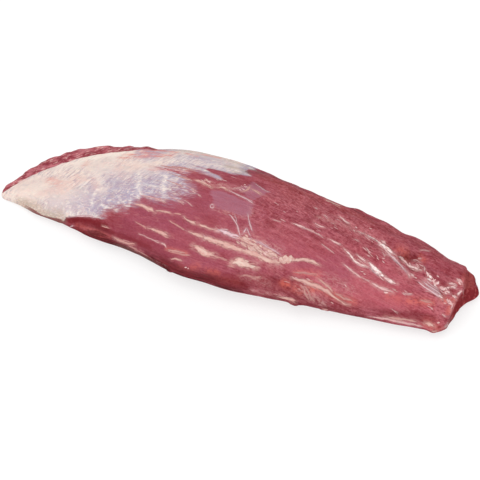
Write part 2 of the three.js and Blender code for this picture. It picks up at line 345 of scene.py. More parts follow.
# Soft tints of the surface, painted shade and painted light among them, by kind: strength, reach in mm, then
# the spots of the line
TINTS = {
    # deep: the lean's own deep red, and painted shade in hollows, pits and creases, under and between the
    # flecks and fibres, on the underside and along the lower front
    "deep": {
        "window": (1.0, 3.4, [(68, 220), (80, 220), (92, 222), (104, 227)]),
        "over the front band": (0.8, 2.6, [(118, 235), (134, 240.6), (150, 248)]),
        "below the window": (0.9, 1.8, [(82, 231), (94, 236.4), (108, 241.6)]),
        "hollow by the window": (0.9, 2.0, [(103, 228), (108, 231), (113, 233)]),
        "left front": (0.5, 7.0, [(118, 230), (136, 240), (154, 248), (170, 258)]),
        "left lower edge": (0.9, 3.2, [
            (70, 226.6), (86, 234), (104, 239), (122, 247), (140, 254.5), (156, 262),
        ]),
        "low front edge": (0.9, 3.0, [(150, 258), (178, 270.5), (200, 278), (225, 285), (234, 287)]),
        "end of the low front edge": (0.5, 2.0, [(250, 292), (270, 297), (300, 302), (340, 311)]),
        "low front": (0.9, 5.0, [(164, 264), (190, 276), (222, 281), (242, 284)]),
        "low front bundle": (0.6, 3.6, [(238, 278), (262, 281), (280, 285), (298, 292)]),
        "left of the cut's foot": (0.35, 2.0, [(390, 313), (410, 317), (424, 319)]),
        "below the upper lobe": (0.4, 2.6, [(200, 174), (216, 177), (240, 182), (262, 186)]),
        "behind the film": (0.3, 5.0, [(196, 205), (203, 214), (214, 222)]),
        "back of the right half": (0.25, 1.6, [(262, 176), (300, 192), (336, 206), (392, 232)]),
        "far back lobe": (0.2, 7.0, [(392, 238), (420, 250), (450, 268)]),
        "fold at the thin end": (0.6, 2.0, [(382, 312), (400, 315), (420, 318), (432, 319)]),
        "under the low front line": (0.4, 3.0, [(300, 298), (322, 302), (350, 308)]),
        "dark over the foot": (0.5, 1.6, [(384, 311), (398, 313.6), (412, 316)]),
        "foot of the thin end": (0.6, 2.0, [(300, 305), (330, 311), (362, 317)]),
        "dark spot by the film": (0.5, 1.6, [(267, 222), (271, 225)]),
        "second dark spot": (0.4, 1.3, [(275, 216), (280, 218.5)]),
        "third dark spot": (0.45, 1.1, [(290, 217.6), (294, 219)]),
        "dark crease of the back": (0.4, 0.9, [(307, 221.5), (313, 218), (320, 215.4)]),
        "fourth dark spot": (0.35, 1.5, [(335, 230), (343, 233)]),
        "dark stripe in the window": (0.7, 0.9, [(84, 224.6), (98, 229), (112, 234.6)]),
        "dark of the hollow": (1.0, 1.2, [(404, 260), (408, 260), (413, 257), (418, 258)]),
        "dark below the hollow": (0.8, 1.0, [(409, 266.6), (415, 269), (422, 267)]),
        "dark behind the flecks": (0.55, 1.6, [(428, 270), (438, 279), (446, 286), (452, 291)]),
        "dark under the fibres": (0.7, 0.8, [(439.5, 292), (445, 296)]),
        "dark of the corner": (0.7, 2.4, [(461, 274), (467, 277), (472, 281)]),
        "dark between the flecks": (0.7, 0.9, [(447, 286), (451, 290.6), (446.6, 287.6)]),
        "dark of the pit": (1.0, 1.2, [(405.6, 256.6), (409.6, 258.4), (408, 262.6)]),
        "second dark of the pit": (0.9, 0.9, [(414.6, 254.6), (417.4, 257)]),
        "dark of the left": (0.5, 6.0, [(110, 222), (124, 230), (140, 240)]),
    },
    "pale": {
        "stripe of the belly": (0.25, 0.6, [(128, 247.6), (142, 254), (156, 261), (166, 266)]),
        "field of fat": (1.0, 3.8, [(241, 240), (254, 246), (266, 252), (277, 257)]),
        "beside the upper seam": (0.8, 1.5, [(218, 229.6), (230, 234), (243, 240)]),
        "beside the lower seam": (0.7, 1.5, [(199, 236), (225, 244.5), (256, 254)]),
        "front edge of the film": (0.4, 1.4, [(214, 208.4), (230, 213.4), (244, 217)]),
        "right edge of the film": (0.5, 1.3, [(250.4, 206), (251, 216)]),
        "beside the crease": (0.8, 2.2, [(384, 249), (394, 259), (402, 268), (409, 275)]),
        "torn by the hollow": (1.0, 1.6, [(404, 262), (412, 266), (420, 270)]),
        "torn by the cut": (0.4, 1.6, [(422, 282), (432, 289), (442, 297)]),
        "torn in the corner": (0.35, 1.8, [(450, 285), (458, 281), (463, 284)]),
        "pale of the cut's rim": (0.3, 0.8, [(462, 290.6), (456.6, 297.4), (452.4, 304.4), (449, 316)]),
        "pale over the low front": (0.35, 3.0, [(322, 277), (338, 284), (352, 290)]),
        "beside the hook": (0.6, 1.4, [(346, 251), (358, 262), (372, 270)]),
        "beside the long streak": (0.4, 1.4, [(352, 272), (370, 283), (392, 292)]),
        "curls of the low front": (0.6, 2.8, [(300, 289), (312, 297), (322, 303)]),
        "pale of the low front's edge": (0.5, 1.5, [(252, 290.6), (266, 293), (282, 295.6)]),
        "waves of the low front": (0.25, 2.4, [(242, 276), (254, 278), (266, 284)]),
        "end of the dashes": (0.5, 1.6, [(320, 218), (344, 225), (360, 234)]),
        "above the film": (0.6, 1.8, [(212, 184), (232, 188), (256, 192)]),
        "torn front": (0.3, 1.1, [(114, 239), (126, 244), (142, 251)]),
    },
    # shade: painted shade along the outlines where the muscle turns away, under the front band and at the
    # lobe's end
    "shade": {
        "dark of the belly's edge": (1.0, 2.4, [
            (164, 267.6), (182, 275.8), (195, 281.2), (215, 285.6), (230, 289.2), (240, 291.4),
        ]),
        "under the front band": (0.9, 1.4, [(120, 245), (132, 250.4), (142, 255.4)]),
        "line of the belly": (0.6, 0.8, [(132, 249), (150, 257.4), (172, 266.6), (196, 275.6)]),
        "dark line over the back": (0.6, 0.5, [(262, 172.4), (300, 188.4), (340, 204.6), (372, 218.6)]),
        "dark line of the far back": (0.5, 0.5, [(420, 242.6), (440, 254), (456, 264.4)]),
        "dark of the lobe's end": (0.35, 0.9, [(252, 172.6), (258, 173.6), (266, 177)]),
    },
    "wedge": {
        "start of the wedge": (0.8, 0.6, [(149.5, 166.4), (158, 167.6), (167, 169.8)]),
        "middle of the wedge": (1.0, 0.9, [(162, 168.6), (172, 170.8), (182, 173.8)]),
        "mouth of the wedge": (1.0, 1.3, [(178, 172.6), (186, 175.4), (194, 179)]),
        "veil above the wedge": (0.35, 2.2, [(172, 167.6), (184, 169.8), (197, 173)]),
        "thin of the tongue": (0.15, 2.4, [(197, 170.6), (208, 174.6), (220, 179.4)]),
        "line under the lobe": (0.5, 0.5, [(194, 166), (204, 168.4), (214, 171.4)]),
        "right end of the lower skin": (0.55, 6.0, [(176, 193), (198, 188)]),
        "slit in the skin": (0.25, 0.9, [(141, 198), (150, 200.5), (160, 203), (168, 205)]),
        "second slit in the skin": (0.3, 0.7, [(166, 196), (176, 199.5), (186, 202)]),
    },
    "orange": {
        "brown of the tongue": (0.15, 1.4, [(178, 169), (190, 171.6), (204, 174), (214, 177)]),
        "blush of the nub": (0.35, 2.4, [(427, 323), (432, 326), (438, 330)]),
        "stripe in the window": (0.4, 0.9, [(76, 225), (94, 230.6), (110, 237)]),
        "second stripe in the window": (0.3, 0.8, [(78, 229), (92, 234), (104, 238.4)]),
        "spot on the low front": (1.0, 1.7, [(283.4, 283.4), (287, 285)]),
        "beside the spot": (0.5, 2.4, [(294, 288), (300, 292)]),
        "lumps at the hollow": (0.5, 1.8, [(399, 250), (407, 255)]),
        "edge of the hollow": (0.6, 1.3, [(420, 257), (424, 260)]),
        "left rim of the cut": (0.6, 1.2, [(455, 297), (451.4, 304), (448.4, 312)]),
        "at the cut": (0.8, 1.5, [(442.5, 297.6), (446.6, 301)]),
        "ridge of the thin end": (0.6, 1.6, [(408, 301), (422, 301.6), (432.5, 303)]),
        "start of the ridge": (0.3, 2.0, [(388, 296), (400, 299)]),
        "red of the corner": (0.4, 2.0, [(461, 283), (467, 281), (471, 279)]),
        "specks on the low front": (0.25, 1.6, [(180, 267), (188, 269)]),
        "low front glow": (0.2, 2.6, [(218, 278), (236, 282)]),
        "blush over the back": (0.9, 1.3, [(143, 150.5), (156, 150.6), (176, 153)]),
        "second blush over the back": (0.8, 1.4, [(128, 157), (146, 156.5), (162, 156.5)]),
        "third blush over the back": (0.6, 1.0, [(186, 153.6), (197, 157)]),
        "edge over the back": (0.9, 0.9, [(202, 155), (210, 156.6), (220, 158.6)]),
        "blush of the wedge": (0.5, 1.6, [(150, 169), (160, 170), (176, 170), (188, 171)]),
        "left of the island": (0.5, 1.2, [(167, 249), (174, 250.6), (186, 253.6)]),
        "below the island": (0.5, 1.8, [(192, 268), (198, 265.6)]),
        "past the island": (0.6, 1.9, [(208, 270.4), (217, 273)]),
        "band of the low front": (0.5, 1.8, [(308, 283), (322, 290), (338, 297), (354, 302)]),
        "bits over the low front": (0.5, 1.4, [(296, 272.4), (308, 273), (318, 274.4)]),
        "second spot on the low front": (0.7, 1.8, [(310, 289), (313, 290.4)]),
        "blush on the skin": (0.6, 2.4, [(50, 180), (58, 184)]),
        "streaks over the crown": (0.8, 1.7, [(122, 158), (136, 154.4), (152, 153.6), (172, 156)]),
        "small blush on the skin": (0.5, 1.3, [(85, 164), (88, 164)]),
        "blush by the hairline": (0.3, 2.0, [(93, 179), (97, 188)]),
    },
    "cream": {
        "cream of the back edge": (1.0, 2.0, [(62, 165.5), (88, 158.8), (112, 154.6), (132, 152.6)]),
        "cream of the crown": (0.4, 3.2, [(120, 161), (140, 163), (150, 172)]),
        "cream above the wedge": (0.5, 1.6, [(156, 163), (172, 162), (188, 160), (204, 163)]),
        "cream by the hairline": (0.8, 3.0, [(98, 176), (104, 190)]),
        "cream of the upper lobe": (0.9, 2.4, [(190, 162), (214, 166), (236, 171)]),
        "cream of the window's edge": (0.8, 0.9, [(66, 216), (78, 215), (92, 215.6), (102, 217.6)]),
        # painted light: lightens the tip's lower edge, which faces down and away from the lamps
        "painted light on the tip's lower edge": (0.3, 1.4, [(10, 199), (30, 207), (50, 215.4)]),
        "cream of the tip": (0.4, 3.0, [(12, 197), (30, 192), (46, 184)]),
    },
    "grey": {
        "lobe's dark end": (0.8, 1.6, [(226, 166.5), (238, 169), (248, 172)]),
        "lobe's dark arc": (0.7, 0.8, [(232, 171.6), (241, 173.4), (248, 172.6)]),
        "rim over the back": (0.55, 1.0, [(150, 148.8), (186, 151.4), (220, 158), (262, 173.6)]),
        "rim past the lobe": (0.7, 0.6, [(250, 168.6), (264, 173.4), (282, 180.6), (300, 188.4)]),
        "brown of the front band": (0.7, 2.0, [(118, 245), (136, 252.6), (156, 263.6)]),
    },
    "brown": {
        "brown of the back edge": (1.0, 3.0, [(262, 176), (300, 192), (340, 208), (372, 222)]),
        "brown of the far back edge": (0.7, 2.6, [(372, 222), (404, 235), (440, 256), (456, 264)]),
        "brown of the back": (0.6, 11.0, [(290, 197), (330, 212), (370, 226)]),
    },
    "rose": {
        "rose of the thin end": (0.8, 11.0, [(362, 284), (392, 296), (430, 306)]),
        "rose of the nub": (1.0, 5.0, [(426, 324), (434, 329), (440, 331)]),
        "rose of the front": (0.5, 8.0, [(322, 274), (346, 284), (366, 292)]),
        "rose above the broad streak": (0.9, 6.0, [(366, 252), (380, 262), (396, 272), (412, 282)]),
        "rose under the seam": (0.3, 7.0, [(290, 250), (310, 256)]),
        "rose of the hollow": (0.6, 4.0, [(396, 256), (408, 262), (420, 268)]),
        "rose of the far end": (0.7, 6.0, [(438, 260), (450, 266), (462, 270)]),
    },
    "violet": {
        "violet below the skin": (0.9, 7.0, [(140, 216), (168, 212), (190, 212), (206, 206)]),
        "violet left of the seams": (0.7, 8.0, [(128, 226), (150, 238), (180, 250), (206, 260)]),
        "violet of the middle": (0.7, 6.0, [(168, 224), (196, 236), (222, 244)]),
        "violet between the seams": (0.8, 4.0, [(200, 231), (222, 240), (240, 246)]),
        "violet by the film": (0.5, 5.0, [(222, 226), (246, 226)]),
        "violet of the front": (0.5, 5.0, [(300, 270), (322, 266), (344, 274)]),
        "violet past the island": (0.5, 4.0, [(212, 262), (226, 264), (262, 270)]),
    },
    "rough": {
        "rough of the back": (0.8, 13.0, [(270, 205), (305, 208), (340, 222), (372, 240)]),
        "rough of the far end": (0.4, 8.0, [(395, 245), (420, 256), (445, 270)]),
        "rough of the middle": (0.5, 8.0, [(262, 222), (286, 232)]),
    },
    "calm": {
        "calm of the middle": (1.0, 9.0, [(262, 240), (290, 252), (320, 262), (352, 282), (392, 298)]),
        "calm behind the film": (0.8, 6.0, [(208, 190), (206, 206), (216, 220)]),
    },
    "lilac": {
        "lilac of the upper lobe": (0.2, 3.0, [(194, 162), (208, 165), (228, 169), (246, 174)]),
        "lilac above the window": (0.5, 4.5, [(50, 206), (60, 208), (78, 206), (100, 208)]),
        "lilac of the middle": (0.4, 8.0, [(128, 190), (150, 184), (178, 182)]),
        "lilac above the lower edge": (0.8, 4.5, [(108, 206), (126, 202), (146, 196), (170, 196)]),
    },
}

# Pale threads within the silverskin: width in mm, then the spots of the line
SKIN_THREADS = [
    (1.3, [(139.5, 176), (138.5, 186), (139.5, 200)]),
    (1.2, [(166, 176), (164, 188), (164.5, 201)]),
    (1.0, [(130.5, 200), (130, 206), (127, 213)]),
    (0.8, [(104, 213.5), (109, 214.5), (113, 213)]),
    (0.8, [(92, 206), (93, 198), (97, 190)]),
    (0.6, [(144, 184), (158, 187), (172, 190)]),
    (0.6, [(142, 195), (152, 198.5), (162, 201)]),
    (0.7, [(186, 168), (204, 170), (222, 176)]),
    (0.6, [(118, 196), (124, 204), (132, 210)]),
    (0.6, [(102, 205), (112, 209), (122, 211)]),
    (0.5, [(148, 206), (150, 202), (152, 199)]),
]

# Strands laid on the muscle: height in mm, then the spots of the line with the width there in mm
FAT_STRANDS = {
    "start of the upper seam": (0.45, [
        (134.6, 204.2, 0.4), (139, 204.6, 0.8), (143, 205.8, 0.9), (148, 208.3, 1.1), (152, 210.3, 1.6),
        (154.8, 212.4, 0.7),
    ]),
    "thin of the upper seam": (0.3, [
        (154.6, 211, 0.4), (160, 210.8, 0.7), (166, 212, 0.7), (172.4, 213.8, 0.4),
    ]),
    "faint of the upper seam": (0.16, [(173.6, 213.6, 0.3), (178, 214, 0.5), (182, 215.2, 0.4)]),
    "knot of the upper seam": (0.4, [
        (183.2, 216, 0.5), (185.8, 218.8, 0.8), (190.3, 221.8, 0.9), (194.3, 223.1, 1.1), (197, 223.2, 0.4),
    ]),
    "second knot of the upper seam": (0.4, [
        (198.6, 223.3, 0.8), (200.3, 225.3, 1.3), (205.3, 226.8, 0.8), (210.4, 228.9, 0.5),
        (217, 229.2, 0.4),
    ]),
    "upper field": (0.3, [(236, 236, 0.5), (243, 240, 1.4), (251, 243.4, 1.8), (258, 246, 0.8)]),
    "middle field": (0.25, [(244, 244, 0.7), (250, 246.4, 1.4), (257, 249.4, 1.4), (264, 252.6, 0.6)]),
    "far strand of the field": (0.25, [
        (260, 246.6, 0.5), (267, 249.5, 1.0), (273, 253, 0.9), (279, 257, 0.5),
    ]),
    "faint of the lower seam": (0.14, [
        (169, 220.3, 0.4), (174, 223.3, 0.5), (180, 227, 0.4), (185, 229.8, 0.3),
    ]),
    "start of the lower seam": (0.4, [
        (187, 231, 0.4), (192, 232.9, 0.7), (196, 234.4, 1.2), (200.3, 236, 1.5), (204, 237.4, 1.0),
    ]),
    "lower seam": (0.45, [
        (201, 236, 0.8), (205.3, 237.6, 2.2), (210.4, 239.6, 2.0), (215.4, 241.4, 1.9), (220.4, 242.9, 1.5),
        (225.4, 244.2, 1.9), (230.4, 246.2, 2.0), (235.5, 248, 1.9), (240.5, 249.7, 2.1), (246, 251.6, 1.2),
    ]),
    "second part of the lower seam": (0.5, [
        (240, 250, 0.8), (246, 251.4, 2.0), (252, 253, 2.5), (258, 255.2, 2.0), (264, 258.4, 1.8),
        (270, 261, 1.9), (276, 262.4, 1.7), (281.6, 263.4, 0.8),
    ]),
    "tail of the seam": (0.45, [
        (291, 261.4, 0.8), (297, 260.2, 1.2), (304, 259.6, 1.2), (312, 261.6, 1.2), (320.4, 265.2, 0.5),
    ]),
    "island": (0.5, [
        (192.4, 245.8, 0.8), (196.4, 247.8, 2.3), (201, 250.4, 3.0), (205, 252.8, 3.3), (209.6, 254.4, 2.8),
        (215.4, 256, 1.0),
    ]),
    "tail of the island": (0.2, [(213, 255.6, 0.6), (220, 257.8, 0.4), (228.4, 260.4, 0.3)]),
    "nodule": (1.3, [
        (231.6, 264, 0.8), (235, 262.2, 2.8), (239.5, 262, 4.4), (244.4, 264, 2.8), (250, 265.4, 1.8),
        (256.4, 266.6, 0.6),
    ]),
    "left streak": (0.35, [
        (146, 227.6, 0.4), (151, 228.8, 0.7), (155.4, 230.2, 1.1), (160, 232.2, 1.5), (165, 234.1, 1.7),
        (169.4, 235.9, 0.7),
    ]),
    "faint left streak": (0.14, [(135, 221.6, 0.3), (141, 225, 0.4), (147, 228, 0.4)]),
    "chevron": (0.3, [(170.6, 259.6, 0.4), (175, 258.4, 0.7), (178, 259.4, 0.7), (182.4, 261, 0.4)]),
    "pink streak": (0.2, [(166.6, 249.4, 0.6), (171, 250.4, 1.2), (175, 250.8, 0.8), (186, 253.6, 0.4)]),
    "second pink streak": (0.16, [(172, 252, 0.4), (182, 254.6, 0.5), (190, 255.6, 0.3)]),
    "window dash": (0.25, [(100.8, 225.7, 0.6), (105, 227, 0.7), (109.7, 228.3, 0.5)]),
    "front band": (0.22, [
        (113, 236.8, 0.6), (117, 239.3, 1.2), (123, 241.8, 1.2), (130, 243.4, 0.9), (136, 243.8, 0.5),
    ]),
    "tail of the front band": (0.1, [(127, 245, 0.6), (134, 248.4, 0.7), (142, 253, 0.6), (149, 257, 0.4)]),
    "strip over the film": (0.35, [
        (193.6, 179.6, 0.4), (197, 180.6, 0.9), (202, 182, 1.0), (208, 185.4, 0.7), (214, 188, 0.4),
    ]),
    "first bit over the film": (0.4, [
        (218, 187, 0.5), (222, 187.6, 1.4), (226, 189, 1.1), (229.6, 190.6, 0.5),
    ]),
    "second bit over the film": (0.22, [
        (240, 192.4, 0.5), (242.6, 191.4, 0.9), (246, 190.6, 1.1), (249, 188.4, 1.2), (251.4, 186.4, 0.6),
    ]),
    "third bit over the film": (0.25, [
        (250.6, 188.6, 0.6), (255, 191, 1.0), (260.4, 194.6, 1.1), (263, 195.4, 0.4),
    ]),
    "low front line": (0.4, [
        (291, 277.6, 0.5), (299, 279.8, 1.0), (307, 282.4, 1.3), (318, 286.6, 1.6), (328, 292, 1.4),
        (335, 297.4, 0.7), (344, 303.6, 0.5), (350, 305.4, 0.4),
    ]),
    "low front branch": (0.25, [(317, 278, 0.5), (322, 282, 0.8), (328, 286.2, 0.9), (333.4, 292.3, 0.8)]),
    "blush beside the branch": (0.16, [(334, 293, 0.6), (342, 297, 0.9), (354, 301.6, 0.4)]),
    "line over the low front": (0.12, [(292, 272.6, 0.3), (304, 272.8, 0.5), (318, 274.4, 0.4)]),
    "first curl": (0.18, [
        (300.4, 284.6, 0.4), (304.3, 289.2, 0.6), (305.3, 294.3, 0.6), (309.6, 300.4, 0.5),
    ]),
    "second curl": (0.18, [(303.6, 285.4, 0.3), (308, 290.6, 0.5), (310, 296, 0.6), (315, 302, 0.4)]),
    "first wave": (0.14, [(240, 276, 0.3), (247, 275.6, 0.5), (254, 278, 0.5), (262, 277.6, 0.3)]),
    "torn front edge": (0.4, [(278, 297, 0.6), (283, 297.8, 1.0), (289, 298.6, 1.2), (296, 301.2, 0.7)]),
    "low front speck": (0.3, [(321.6, 308.6, 0.4), (325, 309.2, 0.8), (329, 310, 0.4)]),
    "crest of the thin end": (0.4, [(325, 200.2, 0.6), (333, 203.2, 1.2), (341, 206.6, 0.6)]),
    "pad at the cut": (0.45, [(424.6, 323.4, 0.5), (428, 323.6, 2.0), (431.6, 325, 1.2), (434, 327.4, 0.5)]),
    "upper foot of the thin end": (0.25, [
        (384, 316.6, 0.4), (396, 318.4, 0.9), (408, 320.2, 0.8), (418, 322, 0.4),
    ]),
    "bits by the ridge": (0.2, [(420, 300.6, 0.4), (427, 301.6, 0.8), (433.6, 303.4, 0.5)]),
    "flap at the cut": (0.3, [(430, 330.4, 0.6), (434, 331.4, 1.0), (438, 331, 0.6)]),
    "ridge over the wedge": (0.2, [
        (160, 165.6, 0.4), (172, 167, 0.5), (184, 168.6, 0.4), (196, 171.6, 0.4),
    ]),
    "second ridge over the wedge": (0.2, [(168, 172.6, 0.3), (180, 176.6, 0.4), (190, 179.4, 0.3)]),
    "crumb over the strip": (0.3, [(203, 181.4, 0.4), (206, 180.4, 0.8), (208.4, 182.6, 0.5)]),
}
WHITE_STRANDS = {
    "first short": (0.3, [(322.7, 215, 0.4), (325, 215.6, 0.7), (328.4, 218.2, 0.4)]),
    "short above": (0.25, [(313.8, 207.3, 0.5), (317.6, 208.9, 0.5)]),
    "second short": (0.45, [
        (339.3, 216.3, 0.6), (342.5, 218.8, 0.9), (345.7, 221.7, 0.5), (350.4, 223.8, 0.3),
    ]),
    "third short": (0.35, [
        (314.4, 222.6, 0.3), (319.5, 225.8, 0.6), (322.4, 226.8, 0.8), (325, 227.4, 0.3),
    ]),
    "long thin": (0.4, [(292, 223.2, 0.3), (297, 224.8, 0.8), (302, 227, 0.9), (306, 228.8, 0.4)]),
    "tail of the long thin": (0.2, [(303, 227.6, 0.4), (309, 230, 0.6), (316, 233, 0.5), (324, 237.6, 0.3)]),
    "faint start": (0.14, [(271.7, 219.4, 0.3), (277, 220.6, 0.5), (282, 222.2, 0.3)]),
    "fourth short": (0.4, [(328.6, 238.8, 0.5), (333, 241.2, 0.7), (337, 243.2, 0.9), (341.6, 245, 0.4)]),
    "faint": (0.14, [(321, 243.8, 0.3), (328.7, 249.5, 0.4), (335, 254, 0.3)]),
    "pink line above the crease": (0.2, [(356.6, 230.6, 0.4), (361, 232.6, 0.6), (365.3, 234.7, 0.4)]),
    "lilac line left of the crease": (0.2, [(353, 238.6, 0.3), (356.6, 240.4, 0.5), (360, 242, 0.3)]),
    "pale line left of the crease": (0.25, [(365.3, 246.6, 0.4), (367.4, 249.6, 0.7), (370, 253.6, 0.4)]),
    "pink line under the crease": (0.25, [(376.5, 243.9, 0.3), (380, 246, 0.6), (383.6, 248.6, 0.4)]),
    "curl under the crease": (0.25, [(382.7, 251.5, 0.4), (383.6, 254.6, 0.6), (386.6, 256.8, 0.4)]),
    "bit above the broad streak": (0.25, [(366.8, 255.1, 0.4), (368.6, 255.8, 0.6), (370.6, 256.8, 0.3)]),
    "hook": (0.5, [
        (343.4, 248.6, 0.5), (348, 252.6, 0.8), (351.4, 256.6, 0.9), (354.4, 260.8, 0.8),
        (358.4, 263.6, 0.8), (363.8, 265.4, 0.7), (368, 266.6, 0.4),
    ]),
    "beside the hook": (0.5, [
        (356.6, 254.2, 0.5), (360.2, 257.7, 0.8), (363.8, 260.4, 0.8), (366.6, 262.4, 0.5),
    ]),
    "broad streak": (0.7, [
        (367.6, 261.8, 0.8), (371.4, 265.4, 2.0), (376, 270, 2.2), (380.8, 274.4, 2.0), (385, 277.6, 1.4),
    ]),
    "end of the broad streak": (0.55, [
        (383, 277, 0.8), (387, 279.6, 1.7), (391.4, 281.8, 1.6), (396.6, 283.6, 0.5),
    ]),
    "long streak": (0.35, [(342.6, 263.4, 0.4), (348, 267.8, 0.6), (355, 273.3, 0.5), (361, 277.4, 0.4)]),
    "middle of the long streak": (0.16, [(360, 276.6, 0.4), (366, 280, 0.5), (371, 282.4, 0.4)]),
    "end of the long streak": (0.4, [
        (371, 283, 0.5), (374.5, 284.7, 1.1), (378.6, 287, 0.8), (383, 289, 1.2), (388, 290.6, 0.8),
        (394, 292.4, 0.4),
    ]),
    "edge of the crease": (0.6, [
        (366, 233.8, 0.3), (370, 236.8, 0.6), (376, 240.2, 1.0), (381.6, 244.2, 1.4), (385.7, 247.4, 1.7),
        (388.4, 249.6, 2.0), (392, 252.4, 1.8), (395.6, 255, 0.8),
    ]),
    "pink of the crease": (0.3, [(380.6, 240.4, 0.5), (383, 241.6, 1.5), (386, 244.6, 0.8)]),
    "torn edge of the hollow": (0.5, [
        (397.4, 256.4, 0.6), (400.4, 257.8, 1.1), (403.4, 259.6, 1.0), (405.6, 262, 0.7), (408, 265.2, 0.9),
        (411.2, 266.4, 1.1), (414, 267.4, 0.7), (417, 268.8, 1.0), (420.4, 269, 0.5),
    ]),
    "spur of the hollow": (0.35, [(409.4, 262.6, 0.5), (409.6, 264.4, 0.8), (410, 266, 0.6)]),
    "arc of the lump": (0.25, [
        (412.6, 259.8, 0.4), (415.7, 260.3, 0.8), (418.4, 261.6, 0.6), (421.4, 263.4, 0.3),
    ]),
    "streak past the hollow": (0.25, [(417.6, 258.6, 0.5), (421.8, 258.2, 0.6)]),
    "pale line below the lump": (0.3, [(423.8, 265.6, 0.4), (424.6, 268.6, 0.8), (424.8, 272, 0.4)]),
    "end of the fascia": (0.4, [(407.4, 272.8, 0.7), (409.4, 275.4, 1.0), (410.6, 277, 0.5)]),
    "second end of the fascia": (0.4, [(410.2, 275, 0.5), (412.6, 275.2, 1.0), (414, 277, 0.6)]),
    "first torn spike": (0.5, [(427.4, 276.8, 0.5), (428.2, 275, 0.8), (429.4, 273, 0.4)]),
    "second torn spike": (0.5, [(426.2, 278, 0.6), (429, 279.8, 1.1), (432, 282.2, 0.5)]),
    "third torn spike": (0.6, [(433.6, 285.8, 0.7), (435.4, 284.2, 1.1), (437.6, 282.4, 0.5)]),
    "foot of the third spike": (0.4, [(434.4, 285.6, 0.6), (436, 287, 0.9), (438.4, 288.2, 0.4)]),
    "fourth torn curl": (0.6, [
        (439.6, 287.6, 0.6), (441.4, 288.2, 1.1), (443.6, 289.2, 1.1), (446.2, 287.2, 0.5),
    ]),
    "fifth torn curl": (0.45, [(445, 293, 0.6), (446, 291.4, 0.9), (448, 291.8, 0.9), (450, 293.6, 0.5)]),
    "first line in the corner": (0.35, [(448.8, 282.8, 0.5), (451.6, 283.8, 0.8), (455, 284.8, 0.4)]),
    "second line in the corner": (0.4, [(449.8, 287.6, 0.5), (453, 287, 0.9), (457, 288.4, 0.5)]),
    "patch in the corner": (0.3, [
        (456.4, 281.6, 0.5), (458.6, 280, 1.2), (461.4, 281.4, 0.9), (462.8, 283.4, 0.5),
    ]),
    "curl at the cut": (0.5, [(457.2, 295.8, 0.7), (458.4, 293.6, 1.0), (460, 292, 0.7), (462.6, 291, 0.9)]),
    "second curl at the cut": (0.4, [
        (453, 297.6, 0.6), (454.4, 295.8, 1.0), (455.8, 297, 0.9), (456, 299.4, 0.6),
    ]),
    "pale rim at the cut": (0.4, [
        (446.4, 302, 0.7), (449.8, 303, 1.5), (452.4, 304.8, 0.7), (451, 309, 0.4),
    ]),
    "foot of the thin end": (0.25, [
        (368, 316.4, 0.3), (378, 317.8, 0.6), (388, 319.4, 0.8), (398, 321.6, 1.0), (408, 323.6, 1.0),
        (418, 325.6, 0.7), (423, 326.6, 0.4),
    ]),
    "grey of the foot": (0.3, [(443.6, 327.6, 0.6), (446.4, 326, 1.4), (448.6, 323.6, 0.6)]),
    "fold by the cut": (0.25, [(441.6, 313.6, 0.5), (444, 315.6, 0.7), (446, 317, 0.4)]),
    "bright end at the cut": (0.6, [(438.4, 294.8, 0.5), (440.8, 296.8, 0.9), (443, 298.6, 0.5)]),
    "tip of the lower skin": (0.2, [(182, 177.6, 0.3), (188, 179.4, 0.7), (192.6, 181, 0.4)]),
    "dash right of the skin": (0.3, [(190.8, 190.6, 0.3), (194, 192.2, 0.7), (197, 193.6, 0.3)]),
    "tail of the dash": (0.12, [(197, 193.8, 0.4), (202, 196.4, 0.3)]),
    "second dash of the skin": (0.16, [(166, 180, 0.3), (174, 183, 0.4), (184, 187, 0.3)]),
    "third dash of the skin": (0.16, [(182, 184, 0.3), (190, 187.6, 0.5), (197, 191.6, 0.3)]),
    "fourth dash of the skin": (0.2, [
        (168, 195.6, 0.3), (174, 198.6, 0.5), (182.5, 202.4, 0.5), (185, 203.6, 0.3),
    ]),
    "fifth dash of the skin": (0.12, [(182, 199, 0.3), (188, 202.6, 0.4), (193, 206, 0.3)]),
    "hairs right of the strip": (0.14, [(230, 188.8, 0.3), (237, 188, 0.4), (243, 187.6, 0.3)]),
    "edge of the lower skin": (0.25, [
        (139, 194.6, 0.4), (147, 196.4, 0.6), (155, 198.6, 0.6), (163, 201, 0.5), (167, 203.4, 0.3),
    ]),
    "low left thread": (0.2, [(137.8, 233.5, 0.3), (146, 236.8, 0.4), (154, 240.4, 0.4), (160, 242.8, 0.4)]),
    "end of the low left thread": (0.3, [(160, 242.6, 0.3), (164.6, 244.6, 0.6), (166.4, 248.2, 0.5)]),
    "dash near the cut": (0.25, [(391, 308.6, 0.4), (398.4, 313, 0.5)]),
    "past the far line": (0.2, [(419.4, 250.4, 0.3), (425, 250.4, 0.5), (431, 251.4, 0.3)]),
    "speck row": (0.2, [(402, 292, 0.4), (406.6, 294, 0.6), (412.4, 294.4, 0.4)]),
}
